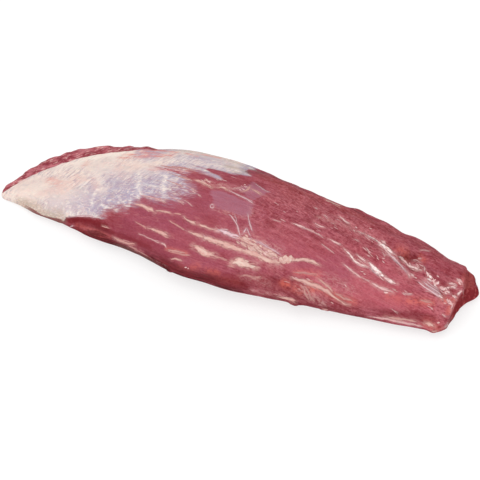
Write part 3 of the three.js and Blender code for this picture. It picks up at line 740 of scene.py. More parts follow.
FASCIA_STRANDS = {
    "broad of the upper seam": (0.5, [
        (217, 229.6, 0.5), (221, 230.6, 1.4), (225.4, 232.4, 1.9), (230.4, 234.4, 1.9), (235.5, 235.8, 1.4),
        (241, 237.8, 0.6),
    ]),
    "lilac of the lower seam": (0.2, [(203, 236, 0.4), (208, 237.4, 0.8), (214, 239.4, 0.4)]),
    "left strand": (0.25, [
        (228.6, 213.8, 0.3), (231.8, 217, 0.6), (236, 222.6, 0.7), (238, 228, 0.7), (240, 236, 0.6),
    ]),
    "left twig": (0.2, [(234, 214.6, 0.3), (236, 219, 0.5), (236.6, 223, 0.5)]),
    "right strand": (0.25, [(247.8, 213, 0.4), (248.6, 219, 0.7), (249.8, 224, 0.8), (252.4, 231, 0.6)]),
    "fork": (0.3, [(246.6, 227, 0.4), (245.4, 230.4, 0.8), (243, 233.6, 0.5)]),
    "other side of the fork": (0.25, [(246.6, 227.6, 0.3), (248.4, 231.6, 0.6), (250, 236, 0.4)]),
    "ring on the film": (0.3, [
        (214.2, 206, 0.4), (213, 207.8, 0.5), (210.8, 207.4, 0.5), (210.4, 205.2, 0.5), (212.4, 204.2, 0.5),
        (214.2, 206, 0.4),
    ]),
    "top of the film": (0.25, [
        (228, 190.4, 0.4), (234, 192.8, 0.7), (241, 196.6, 0.8), (248, 200, 1.0), (254, 203.6, 0.8),
    ]),
    "corner of the film": (0.2, [
        (255, 183.4, 0.3), (261.2, 187.6, 0.3), (265.6, 190.6, 0.5), (269.6, 191.6, 0.3),
    ]),
    "under the crease": (0.4, [
        (388, 254, 0.7), (391, 256.4, 1.6), (395, 259.6, 2.0), (399, 263.6, 1.6), (403, 268.2, 1.2),
        (407, 272.4, 0.8),
    ]),
    "lower line to the cut": (0.35, [
        (417.9, 281.4, 0.4), (423.8, 286.6, 0.8), (430.3, 290.8, 0.9), (436.8, 295, 0.9), (442, 298.4, 0.6),
    ]),
    "middle line to the cut": (0.45, [
        (423, 281.4, 0.5), (428.2, 285.8, 1.0), (433.6, 289.2, 1.1), (437.9, 292.3, 0.9), (441.6, 296, 0.6),
    ]),
    "upper line to the cut": (0.35, [
        (425.6, 280.2, 0.4), (430.3, 284.7, 0.9), (435.2, 288.2, 0.9), (440, 292, 0.4),
    ]),
    "violet edge of the broad streak": (0.25, [(369, 267, 0.5), (374, 271.6, 1.2), (379.6, 276.4, 0.6)]),
    # painted highlight: a pale strand where the wet meat by the window glints
    "painted glint by the window": (0.25, [(70, 226.8, 0.3), (71.8, 226.2, 0.6), (73.6, 225.8, 0.3)]),
    "edge of the window": (0.3, [(66, 217.4, 0.3), (76, 216.4, 0.6), (88, 216.2, 0.6), (95, 217.6, 0.3)]),
    "over the field": (0.3, [(264, 246, 0.3), (270, 248.6, 0.6), (275, 251, 0.7), (280, 254.2, 0.4)]),
    "second over the field": (0.25, [(258, 240.6, 0.3), (264, 244.6, 0.6), (270, 249, 0.4)]),
    "veil of the field": (0.16, [(246, 237, 0.4), (252, 239.6, 1.0), (259, 243, 0.8), (265, 246.4, 0.4)]),
}

# Strands out of sight: height in mm, then mm from the tip, degrees round from the crown and width in mm
HIDDEN_FAT = {
    "back seam": (0.5, [(96, -78, 0.6), (112, -86, 1.4), (130, -88, 2.0), (150, -84, 1.6), (168, -80, 0.6)]),
    "back tail": (0.4, [(176, -96, 0.5), (190, -100, 1.0), (206, -104, 0.8), (218, -106, 0.4)]),
    "back crumb": (0.6, [(142, -104, 0.6), (147, -106, 2.2), (153, -104, 1.0)]),
}
HIDDEN_THREADS = {
    "first back thread": (0.25, [(86, -100, 0.4), (104, -108, 0.6), (120, -112, 0.4)]),
    "second back thread": (0.25, [(150, -112, 0.4), (168, -116, 0.6), (184, -118, 0.4)]),
    "third back thread": (0.25, [(196, -92, 0.4), (212, -96, 0.6), (226, -98, 0.4)]),
    "fourth back thread": (0.25, [(56, -72, 0.4), (70, -80, 0.6), (84, -84, 0.4)]),
}

# Small torn flecks and painted glints: the spot, how the fleck lies in the picture in degrees, its length
# and its width in mm
FLECKS_AND_GLINTS = [
    (427.4, 273.6, -60, 3.0, 0.8), (429, 279.7, -25, 2.4, 1.2), (435, 283.5, -45, 2.6, 0.9),
    (434.4, 280.6, 50, 2.4, 0.8), (442.8, 288.9, -40, 2.2, 1.0), (445.8, 292.7, -65, 2.4, 0.9),
    (447.6, 287.6, 15, 2.8, 0.7), (453.5, 296.5, -50, 2.6, 0.9), (451, 283.5, 5, 2.8, 0.8),
    (453.5, 287.3, -20, 3.0, 0.8), (459.6, 283.4, -50, 2.6, 0.9), (356, 227.5, -50, 1.4, 0.8),
    (354, 230.6, -60, 1.6, 0.6), (185.7, 267.4, 10, 1.4, 0.8), (188.4, 268.6, 60, 1.0, 0.6),
    (438, 276.5, -30, 1.8, 0.6), (370.6, 228.2, -15, 2.0, 0.5), (316, 208, -15, 2.2, 0.5),
    (318.6, 234.6, -20, 2.2, 0.5), (362, 271.4, -15, 2.4, 0.6), (364.6, 273.8, -20, 1.8, 0.5),
    (345.4, 285.6, -55, 2.6, 0.5), (386, 292.6, -15, 2.6, 0.8), (378, 258.6, -50, 2.0, 0.6),
    (383.4, 262, -45, 2.2, 0.6), (412, 274.6, -40, 2.4, 0.8), (415.6, 277.4, -20, 1.8, 0.7),
    (449, 300.6, 30, 2.0, 0.7), (445, 303.6, -20, 1.8, 0.6), (438.4, 322.6, 10, 1.8, 0.7),
    (326, 286, -40, 2.0, 0.4), (332, 303, -30, 2.2, 0.4), (458, 280, -50, 2.6, 0.7),
    (452, 283.6, -12, 3.0, 0.7), (430.2, 277.4, -60, 3.0, 1.0), (441.6, 287.6, 10, 2.4, 0.9),
    (436.4, 282.4, 35, 2.8, 0.9),
]

# Fat in beads at the end of the lower seam: the spot, then the length and the width in mm
BEADS = [
    (275.4, 260.6, 2.4, 1.6), (281, 259.6, 2.6, 2.2), (285.6, 257.8, 3.0, 2.6), (290.4, 258.2, 2.8, 2.6),
    (283.4, 261.8, 3.4, 1.8), (288.4, 261.2, 3.0, 2.0), (293, 260, 1.8, 1.8),
]

# Places strewn with crumbs of fat, torn flecks or dashes: spot, spread across and down, slant, count
FAT_CRUMBS = [(246, 241, 8, 4, -30, 14), (256, 248, 9, 4, -35, 16), (268, 254, 8, 3, -30, 10)]
TORN_PLACES = [
    (432, 281, 6, 5, -40, 5), (445, 290, 6, 5, -40, 6), (455, 284, 6, 4, -20, 6), (414, 266, 6, 4, -30, 6),
    (388, 256, 6, 5, -45, 6), (448, 299, 3, 4, -50, 4), (256, 249, 12, 4, -26, 16), (272, 254, 8, 3, -30, 8),
    (245, 188, 10, 4, -24, 6), (208, 182, 6, 3, -20, 4),
]
DASHED_PLACES = [
    (290, 210, 24, 12, -26, 4), (325, 226, 22, 12, -28, 7), (372, 252, 12, 14, -36, 9),
    (405, 290, 20, 8, -30, 6), (304, 280, 18, 6, -24, 6), (430, 306, 14, 6, -24, 3),
    (222, 180, 14, 4, -22, 6),
]

# The muscle's finer copy, in metres
FINENESS = 2
MERGE_DISTANCE = 1e-6

# How far the silverskin and the film stand up, and where their edges rise, in mm
SKIN_RISE = 0.3
FILM_RISE = 0.12
EDGE_STEP = (-0.5, 0.5)
FADE_STEP = (2, 14)

# How many times faster than at its fading edge the silverskin fades in at the lobe and out of sight
LOBE_CRISPNESS = 4.0
HIDDEN_CRISPNESS = 2.2

# How deep in the silverskin the lean ends, in mm, and how deep in its outline the cut starts, in pixels
LEAN_EDGE = (-1, 1.5)
CUT_EDGE = (-1.2, 0.8)
# How far along X the normals of the cut point
CUT_FACING = (0.35, 0.75)
# The heights over the floor at which the relief starts and is full, in mm
OFF_FLOOR = (0.3, 4)

# The spiral of the fibres in the thin end: its start in mm, and its degrees for each mm
TWIST_FROM = 150.0
TWIST_PER_MM = 0.55

# Waves of the relief: height in mm, spans on each axis in mm, and seed
WAVES = {
    "bundles": (0.30, (38, 4.2, 4.2), 3),
    "fibres": (0.14, (14, 1.7, 1.7), 8),
    "rough": (0.26, (3.2, 2.4, 2.4), 12),
    "everywhere": (0.06, (5, 5, 5), 15),
    "silverskin": (0.08, (7, 2.2, 3), 21),
    "cut": (0.35, (3.6, 3.2, 3.2), 27),
    "lumps": (0.9, (8, 6, 6), 37),
    "band": (0.55, (4.5, 3, 3), 33),
}
ALONG_THE_GRAIN = ("bundles", "fibres")

# Where finishes and the painted shade at the tip and the belly start and end, in mm from the tip
CUT_FROM = (228, 238)
BAND_END = (62, 84)
LUMPS_FROM = (140, 170)
LEFT_FROM = (40, 70)
LEFT_END = (118, 160)
CALM_FROM = (58, 78)
GREY_FROM = (6, 16)
GREY_END = (41, 45)
TIP_SHADE_LINE_FROM = (14, 24)
BELLY_FROM = (42, 64)
BELLY_THINS = (124, 140)
BELLY_END = (205, 225)

# Where finishes and the painted shade of the underside start and end round the muscle, in degrees from the
# crown
BAND_SIDE = (0, 8)
LUMPS_TOP = (30, 50)
LUMPS_FOOT = (150, 110)
UNDERSIDE = (88, 112)

# Where the tints and the painted shade of the front's lower outline end, in degrees up from it, or under it
# for the first
FRONT_UNDER = (20, 40)
GREY_UP = (3, 17)
TIP_SHADE_LINE_UP = (-0.5, 1.4)
DARK_UP = (0, 2)
SHADE_UP = (2, 13)

# Strengths of the tints, among them the painted shade of the underside and of the belly
UNDERSIDE_SHADE = 0.75
LEFT_DEPTH = 0.2
BELLY_THINNING = 0.7
SHADE_STRENGTH = 0.8

# The pale bloom of the meat beside a strand: its reach in mm, and in parts of half the strand's width
BLOOM_REACH = 0.45
BLOOM_SPREAD = 0.3
BLOOM_INSIDE = 0.4
# The bloom's strength for each mm of the strand's height, and at a strand without width
BLOOM_PER_MM = 1.3
BLOOM_OF_THIN = 0.2


def skin_outline(surface):
    """The silverskin's closed outline as chart places."""
    return np.vstack([
        surface.trace(SKIN_BACK_EDGE),
        SKIN_OVER_THE_BACK,
        surface.places_of(SKIN_UPPER_LOBE + SKIN_FADING_EDGE + SKIN_WINDOW_EDGE),
        SKIN_UNDER_THE_TIP,
    ])


def make_muscle(node):
    """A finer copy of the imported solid, in quads."""
    muscle = node.copy()
    muscle.data = node.data.copy()
    muscle.name = "muscle_meat"
    muscle.parent = None
    for key in list(muscle.keys()):
        del muscle[key]
    bpy.context.scene.collection.objects.link(muscle)
    only(muscle)
    bpy.ops.object.mode_set(mode="EDIT")
    bpy.ops.mesh.select_all(action="SELECT")
    bpy.ops.mesh.remove_doubles(threshold=MERGE_DISTANCE)
    bpy.ops.mesh.tris_convert_to_quads(face_threshold=math.pi, shape_threshold=math.pi)
    bpy.ops.object.mode_set(mode="OBJECT")
    finer = muscle.modifiers.new("finer", "SUBSURF")
    finer.levels = FINENESS
    finer.render_levels = FINENESS
    bpy.ops.object.modifier_apply(modifier=finer.name)
    bpy.ops.object.shade_smooth()
    return muscle


def untwisted(points):
    """The points with the spiral of the fibres in the thin end taken out, so that fibres run along X."""
    places = chart(points)
    turn = -np.radians(np.maximum(places[:, 0] - TWIST_FROM, 0) * TWIST_PER_MM)
    angle = np.radians(places[:, 1]) + turn
    radius = places[:, 2] * MM
    return np.stack([points[:, 0], -np.sin(angle) * radius, np.cos(angle) * radius], 1)


def near_line(places, surface, spots, width):
    """1 on a line through spots of the picture, falling off softly over a width in mm."""
    return np.exp(-((distance_to(places, surface.trace(spots)) / width) ** 2))


def base_tints(places):
    """What each place has of every kind of tint before the lines of TINTS, from 0 to 1."""
    along = places[:, 0]
    outline = np.array(LOWER_OUTLINE, float)
    up = np.interp(along, outline[:, 0], outline[:, 1]) - places[:, 1]
    front = 1 - smooth(*FRONT_UNDER, -up)
    tip = within(GREY_FROM, GREY_END, along) * front
    belly = within(BELLY_FROM, BELLY_END, along) * (1 - BELLY_THINNING * smooth(*BELLY_THINS, along)) * front
    left = within(LEFT_FROM, LEFT_END, along)
    below = smooth(*UNDERSIDE, places[:, 1]) * smooth(*LEFT_FROM, along)

    tints = {kind: np.zeros(len(places)) for kind in TINTS}
    # painted shade on the underside, and the lean's own deeper red on the left
    tints["deep"] = np.maximum(UNDERSIDE_SHADE * below, LEFT_DEPTH * left)
    tints["calm"] = left * smooth(*CALM_FROM, along)
    tints["grey"] = tip * (1 - smooth(*GREY_UP, up))
    # a painted line of shade along the tip's lower outline
    tints["tip_shade_line"] = tip * smooth(*TIP_SHADE_LINE_FROM, along) * (1 - smooth(*TIP_SHADE_LINE_UP, up))
    # painted shade along the front's lower outline, darkest at the outline itself
    shade = np.maximum(1 - smooth(*DARK_UP, up), SHADE_STRENGTH * (1 - smooth(*SHADE_UP, up)))
    tints["shade"] = belly * shade
    return tints


def tints_of(places, surface):
    """How strongly each place has each kind of tint, from 0 to 1."""
    tints = base_tints(places)
    for kind, lines in TINTS.items():
        for strength, reach, spots in lines.values():
            tints[kind] = np.maximum(tints[kind], strength * near_line(places, surface, spots, reach))
    return tints


def thread_share(places, surface):
    """How strongly each place has a pale thread of the silverskin, from 0 to 1."""
    return np.max([near_line(places, surface, spots, width) for width, spots in SKIN_THREADS], axis=0)


def bloom_of(table, places, surface):
    """How strongly the meat is pale beside the strands of a table, from 0 to 1."""
    share = np.zeros(len(places))
    for height, stops in table.values():
        half = max(stop[2] for stop in stops) / 2
        near = distance_to(places, surface.trace([stop[:2] for stop in stops]))
        beside = np.maximum(near - BLOOM_INSIDE * half, 0) / (BLOOM_REACH + BLOOM_SPREAD * half)
        strength = min(1.0, BLOOM_PER_MM * height, BLOOM_OF_THIN + half)
        share = np.maximum(share, strength * np.exp(-(beside ** 2)))
    return share


def skin_depths(places, surface):
    """How deep places lie in the silverskin, negative outside, and how far from where it fades, in mm."""
    fade = distance_to(places, surface.places_of(SKIN_FADING_EDGE))
    lobe = LOBE_CRISPNESS * distance_to(places, surface.places_of(SKIN_UPPER_LOBE))
    hidden = HIDDEN_CRISPNESS * distance_to(places, SKIN_OVER_THE_BACK)
    return depth_in(places, skin_outline(surface)), np.minimum(fade, np.minimum(lobe, hidden))


def film_depth(places, surface):
    """How deep places lie in the clear film, in mm, negative outside."""
    return np.max([depth_in(places, surface.places_of(outline)) for outline in FILMS], axis=0)


def cut_share(points, ways, places, surface):
    """How far each point belongs to the dark face of the cut, from 0 to 1."""
    facing_end = smooth(*CUT_FACING, ways[:, 0]) * smooth(*CUT_FROM, places[:, 0])
    return facing_end * smooth(*CUT_EDGE, depth_in(surface.spots_of(points), CUT_FACE))


def waves_of(points, grain, shares):
    """The waves of the relief at each point, in mm, from how much of each kind there is."""
    height = np.zeros(len(points))
    for name, share in shares.items():
        rise, spans, seed = WAVES[name]
        height += share * rise * each_noise(grain if name in ALONG_THE_GRAIN else points, spans, seed)
    return height


def shape_muscle(muscle, surface):
    """Gives the muscle its relief, and stores for its material where each of its finishes is."""
    mesh = muscle.data
    points = rows_of(mesh, "co")
    ways = rows_of(mesh, "normal")
    places = chart(points)
    grain = untwisted(points)
    along = places[:, 0]
    back = -places[:, 1]
    tints = tints_of(places, surface)
    skin, fade = skin_depths(places, surface)
    film = film_depth(places, surface)
    cut = cut_share(points, ways, places, surface)
    lean = 1 - smooth(*LEAN_EDGE, skin)
    band = lean * smooth(*BAND_SIDE, back) * (1 - smooth(*BAND_END, along))
    lumps = smooth(*LUMPS_FROM, along) * smooth(*LUMPS_TOP, back) * smooth(*LUMPS_FOOT, back)

    height = SKIN_RISE * smooth(*EDGE_STEP, skin) * smooth(*FADE_STEP, fade)
    height += FILM_RISE * smooth(*EDGE_STEP, film)
    shares = {"bundles": lean * (1 - cut), "fibres": lean * (1 - cut), "rough": tints["rough"]}
    shares |= {"everywhere": 1, "silverskin": 1 - lean, "cut": cut, "lumps": lumps, "band": band}
    height += waves_of(points, grain, shares)
    for depth, width, spots in FOLDS.values():
        height -= depth * near_line(places, surface, spots, width)
    height *= smooth(*OFF_FLOOR, points[:, 2] / MM)
    moved = points + ways * height[:, None] * MM
    moved[:, 2] = np.maximum(moved[:, 2], 0)

    finishes = {"skin": skin * MM, "fade": fade * MM, "film": film * MM, "cut": cut, "band": band}
    finishes |= {"threads": thread_share(places, surface), "grain": grain}
    finishes["fat_bloom"] = bloom_of(FAT_STRANDS, places, surface)
    finishes["fibre_bloom"] = bloom_of(WHITE_STRANDS, places, surface)
    finishes["fascia_bloom"] = bloom_of(FASCIA_STRANDS, places, surface)
    for name, values in (finishes | tints).items():
        keep(mesh, name, values)
    move_to(mesh, moved)


# A strand's mesh: its sides and rings, the gap between rings in mm, and how far it looks ahead in mm
STRAND_SIDES = 10
RING_GAP = 0.5
FEWEST_RINGS = 6
MOST_RINGS = 120
LOOK_AHEAD = 0.2

# A strand's section: how deep it is sunk, in mm, and its height as a part of the given one
SUNK = 0.35
FLATNESS = 0.4
# How much wider the mesh is than the strand, whose edge the material frays
FRINGE = 1.5
# The length of a rounded end, as a part of the strand's width
END_LENGTH = 1.6
# A strand this high counts as thick for its material, in mm
THICK_HEIGHT = 0.9

# How ragged a strand's edge is, up to which width, and how it wanders and swells: parts, and spans in mm
EDGE_RAGGEDNESS = 0.6
RAGGED_WIDTH = 1.4
RAGGED_SPAN = 1.7
RAGGED_TURN = 0.8
LEAST_WIDTH = 0.1
WANDER = 0.3
WANDER_SPAN = 4.0
SWELL = 0.6
SWELL_SPAN = 2.2
WANDER_SEED = 40
SWELL_SEED = 80
# How far apart in the material's noise the strands lie, in metres for each seed
SEED_GAP = 0.01

# Wisps beside a strand: points of the line for each, points in one, and its offset and size as parts
WISP_SPACING = 7
WISP_POINTS = (6, 22)
FEWEST_POINTS = 4
WISP_OFFSET = (0.6, 1.3)
WISP_START = 0.5
WISP_END = (0.8, 1.8)
WISP_GAP = 0.4
WISP_WIDTH = (0.25, 0.5)
WISP_WIDTHS = (0.3, 0.8)
WISP_HEIGHT = 0.5
WISP_SEED = 0.1

# Beads, crumbs and flecks: heights in mm or as parts of the width, and the width of their ends as a part
BEAD_HEIGHT = 0.24
BEAD_ENDS = 0.8
BEAD_SLOPE = 1 / 3
BEAD_RIM = 0.75
CRUMB_HEIGHT = 0.5
FLECK_HEIGHT = 0.12
FLECK_HEIGHT_PER_WIDTH = 0.4
SHORT_ENDS = 0.6
SHORT_BEND = 0.8
SHORT_RIM = 0.8
FASCIA_THINNESS = 0.75

# How short strands are strewn: the spread of their slant in degrees, their lengths and widths in mm
CRUMB_RANGES = (14, (1.5, 5.0), (0.5, 1.3))
TORN_RANGES = (18, (1.2, 3.4), (0.3, 0.7))
DASH_RANGES = (7, (1.5, 4.5), (0.25, 0.45))

# The first seed of each kind of strand
FAT_SEED = 0
HIDDEN_FAT_SEED = 60
BEAD_SEED = 70
CRUMB_SEED = 90
WHITE_SEED = 100
FLECK_SEED = 180
FASCIA_SEED = 600
HIDDEN_THREAD_SEED = 640


def rounded_ends(at, length, width):
    """How full a strand is along its length, from 0 at its ends to 1."""
    gap = np.minimum(at, length - at)
    return np.sqrt(np.clip(gap / min(END_LENGTH * width, length / 2), 0, 1))


def make_ball(name, length):
    """A ball with as many rings as a strand of this length needs, in metres."""
    rings = int(np.clip(length / (RING_GAP * MM), FEWEST_RINGS, MOST_RINGS))
    bpy.ops.object.select_all(action="DESELECT")
    bpy.ops.mesh.primitive_uv_sphere_add(segments=STRAND_SIDES, ring_count=rings, radius=1)
    piece = bpy.context.object
    piece.name = name
    return piece


def aside_and_up(run, turn, width, full, height, seed):
    """How far beside a strand's line and above the surface one of its points lies, in mm."""
    ragged = noise.noise(Vector((run / RAGGED_SPAN, seed, math.cos(turn) * RAGGED_TURN)))
    raggedness = EDGE_RAGGEDNESS * min(1, RAGGED_WIDTH / max(width, LEAST_WIDTH))
    half = width / 2 * full * (1 + raggedness * ragged)
    wander = noise.noise(Vector((run / WANDER_SPAN, seed + WANDER_SEED, 0)))
    drift = wander * WANDER * min(width, RAGGED_WIDTH)
    swell = 1 + SWELL * noise.noise(Vector((run / SWELL_SPAN, seed + SWELL_SEED, 0)))
    rise = math.sin(turn)
    lift = FLATNESS * height * swell * full * rise if rise > 0 else SUNK * rise
    return half * math.cos(turn) + drift, lift


def make_strand(name, surface, middles, widths, height, seed, rim=1.0):
    """A ragged strand, lens-shaped in section, along points of the surface, in metres and mm.

    It keeps for its material how near each point is to its edge, times rim, the strand's own axes, and
    the way that the meat faces there.
    """
    steps = np.concatenate([[0], np.cumsum(np.linalg.norm(np.diff(middles, axis=0), axis=1))])
    length = steps[-1]
    piece = make_ball(name, length)
    ball = rows_of(piece.data, "co")
    at = np.arccos(np.clip(ball[:, 2], -1, 1)) / math.pi * length
    turn = np.arctan2(ball[:, 1], ball[:, 0])
    width = np.interp(at, steps, widths)
    full = rounded_ends(at, length, float(np.max(widths)) * MM)

    def middle(distance):
        return Vector([np.interp(distance, steps, middles[:, axis]) for axis in range(3)])

    laid = []
    upright = []
    for i in range(len(ball)):
        spot = middle(at[i])
        way = middle(at[i] + LOOK_AHEAD * MM) - middle(at[i] - LOOK_AHEAD * MM)
        side = way.cross(surface.nearest(spot)[1]).normalized()
        aside, lift = aside_and_up(at[i] / MM, turn[i], width[i], full[i], height, seed)
        foot, normal = surface.nearest(spot + side * aside * MM)
        laid.append(foot + normal * lift * MM)
        upright.append(normal)

    across = np.cos(turn) * width / 2 * MM
    keep(piece.data, "rim", rim * np.maximum(np.abs(np.cos(turn)), 1 - full))
    keep(piece.data, "strand", np.stack([at, across, np.full(len(at), seed * SEED_GAP)], 1))
    keep(piece.data, "thickness", np.full(len(at), float(smooth(0, THICK_HEIGHT, height))))
    keep(piece.data, "upright", np.array(upright))
    move_to(piece.data, laid)
    return piece


def strand_of(name, surface, height, stops, seed, seen=True, rim=1.0):
    """A strand through spots of the picture, or through places of the chart."""
    line = curve_through(stops, STRAND_STEP)
    line[:, 2] *= FRINGE
    look_up = surface.behind if seen else surface.at
    middles = np.array([look_up(stop[:2]) for stop in line])
    return make_strand(name, surface, middles, line[:, 2], height, seed, rim)


def wisps_beside(name, surface, height, stops, seed):
    """Thin wisps that leave a strand and lie along it."""
    line = curve_through(stops, STRAND_STEP)
    wisps = []
    for i in range(max(1, len(line) // WISP_SPACING)):
        first = random.randrange(0, max(1, len(line) - WISP_POINTS[0]))
        last = min(len(line) - 1, first + random.randrange(*WISP_POINTS))
        part = line[first:last + 1].copy()
        if len(part) < FEWEST_POINTS:
            continue
        offset = random.choice((-1, 1)) * random.uniform(*WISP_OFFSET)
        spread = np.linspace(WISP_START, random.uniform(*WISP_END), len(part))
        part[:, 1] += offset * (WISP_GAP + part[:, 2] / 2 / MM_PER_PIXEL) * spread
        part[:, 2] = np.clip(part[:, 2] * random.uniform(*WISP_WIDTH), *WISP_WIDTHS)
        stops_of_wisp = part[:: max(1, len(part) // FEWEST_POINTS)]
        wisps.append(strand_of(name, surface, height * WISP_HEIGHT, stops_of_wisp, seed + WISP_SEED * i))
    return wisps


def strands_of(table, surface, first_seed, seen=True):
    """All the strands of a table, with wisps beside those that are seen."""
    strands = []
    for seed, (name, (height, stops)) in enumerate(table.items(), first_seed):
        strands.append(strand_of(name, surface, height, stops, seed, seen))
        if seen:
            strands += wisps_beside(name, surface, height, stops, seed)
    return strands


def strewn(table, slant_spread, lengths, widths):
    """Short strands at random over the places of a table: the spot, the slant, the length and the width."""
    found = []
    for x, y, wide, tall, slant, count in table:
        for _ in range(count):
            spot = (random.gauss(x, wide / 2), random.gauss(y, tall / 2))
            lean = random.gauss(slant, slant_spread)
            found.append((*spot, lean, random.uniform(*lengths), random.uniform(*widths)))
    return found


def short_strand(name, surface, fleck, height, seed):
    """A short strand about a spot of the picture, which lies at a slant in degrees."""
    x, y, slant, length, width = fleck
    half = length / 2 / MM_PER_PIXEL
    across = half * math.cos(math.radians(slant))
    down = -half * math.sin(math.radians(slant))
    bend = random.uniform(-SHORT_BEND, SHORT_BEND)
    ends = width * SHORT_ENDS
    stops = [(x - across, y - down, ends), (x + bend, y + bend, width), (x + across, y + down, ends)]
    return strand_of(name, surface, height, stops, seed, rim=SHORT_RIM)


def bead_of(surface, bead, seed):
    """A bead of fat about a spot of the picture."""
    x, y, length, width = bead
    half = length / 2 / MM_PER_PIXEL
    drop = half * BEAD_SLOPE
    ends = width * BEAD_ENDS
    stops = [(x - half, y - drop, ends), (x, y, width), (x + half, y + drop, ends)]
    return strand_of("bead", surface, width * BEAD_HEIGHT, stops, seed, rim=BEAD_RIM)


def join_as(name, pieces, look):
    """Joins pieces of one finish and hangs them on the body."""
    only(*pieces)
    bpy.ops.object.join()
    piece = bpy.context.object
    piece.name = name
    bpy.ops.object.transform_apply(location=True, rotation=True, scale=True)
    bpy.ops.object.mode_set(mode="EDIT")
    bpy.ops.mesh.select_all(action="SELECT")
    bpy.ops.mesh.normals_make_consistent(inside=False)
    bpy.ops.object.mode_set(mode="OBJECT")
    bpy.ops.object.shade_smooth()
    piece.data.materials.clear()
    piece.data.materials.append(look)
    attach(piece, "root")


def make_fat(surface):
    """The fat seams, the beads where they meet, and the crumbs of fat between them."""
    strands = strands_of(FAT_STRANDS, surface, FAT_SEED)
    strands += strands_of(HIDDEN_FAT, surface, HIDDEN_FAT_SEED, seen=False)
    strands += [bead_of(surface, bead, seed) for seed, bead in enumerate(BEADS, BEAD_SEED)]
    for seed, crumb in enumerate(strewn(FAT_CRUMBS, *CRUMB_RANGES), CRUMB_SEED):
        strands.append(short_strand("crumb", surface, crumb, CRUMB_HEIGHT, seed))
    join_as("fat_seams", strands, fat_look())


def make_white_fibres(surface):
    """The white fibres, torn flecks, some of them painted glints, and fine dashes of the lean."""
    strands = strands_of(WHITE_STRANDS, surface, WHITE_SEED)
    torn = strewn(TORN_PLACES, *TORN_RANGES)
    dashes = strewn(DASHED_PLACES, *DASH_RANGES)
    for seed, fleck in enumerate(FLECKS_AND_GLINTS + torn + dashes, FLECK_SEED):
        height = FLECK_HEIGHT + fleck[-1] * FLECK_HEIGHT_PER_WIDTH
        strands.append(short_strand("fleck", surface, fleck, height, seed))
    join_as("white_fibres_and_glints", strands, fibre_look())


def make_fascia(surface):
    """The fine strands of fascia, one of them a painted glint by the window, with generic ones on the sides
    out of sight.
    """
    thinner = {}
    for name, (height, stops) in FASCIA_STRANDS.items():
        thinner[name] = (height, [(x, y, width * FASCIA_THINNESS) for x, y, width in stops])
    strands = strands_of(thinner, surface, FASCIA_SEED)
    strands += strands_of(HIDDEN_THREADS, surface, HIDDEN_THREAD_SEED, seen=False)
    join_as("fascia_threads_and_glint", strands, fascia_look())


class Wire:
    """A number's socket in a material, on which sums are written as sums."""

    def __init__(self, look, socket):
        self.look = look
        self.socket = socket

    def __add__(self, other):
        return self.look.sum("ADD", self, other)

    def __sub__(self, other):
        return self.look.sum("SUBTRACT", self, other)

    def __rsub__(self, other):
        return self.look.sum("SUBTRACT", other, self)

    def __mul__(self, other):
        return self.look.sum("MULTIPLY", self, other)

    __radd__ = __add__
    __rmul__ = __mul__


# How far apart the seeds of a material's noises lie, in waves on each axis
SEED_STEPS = (7.3, 3.1, 5.7)


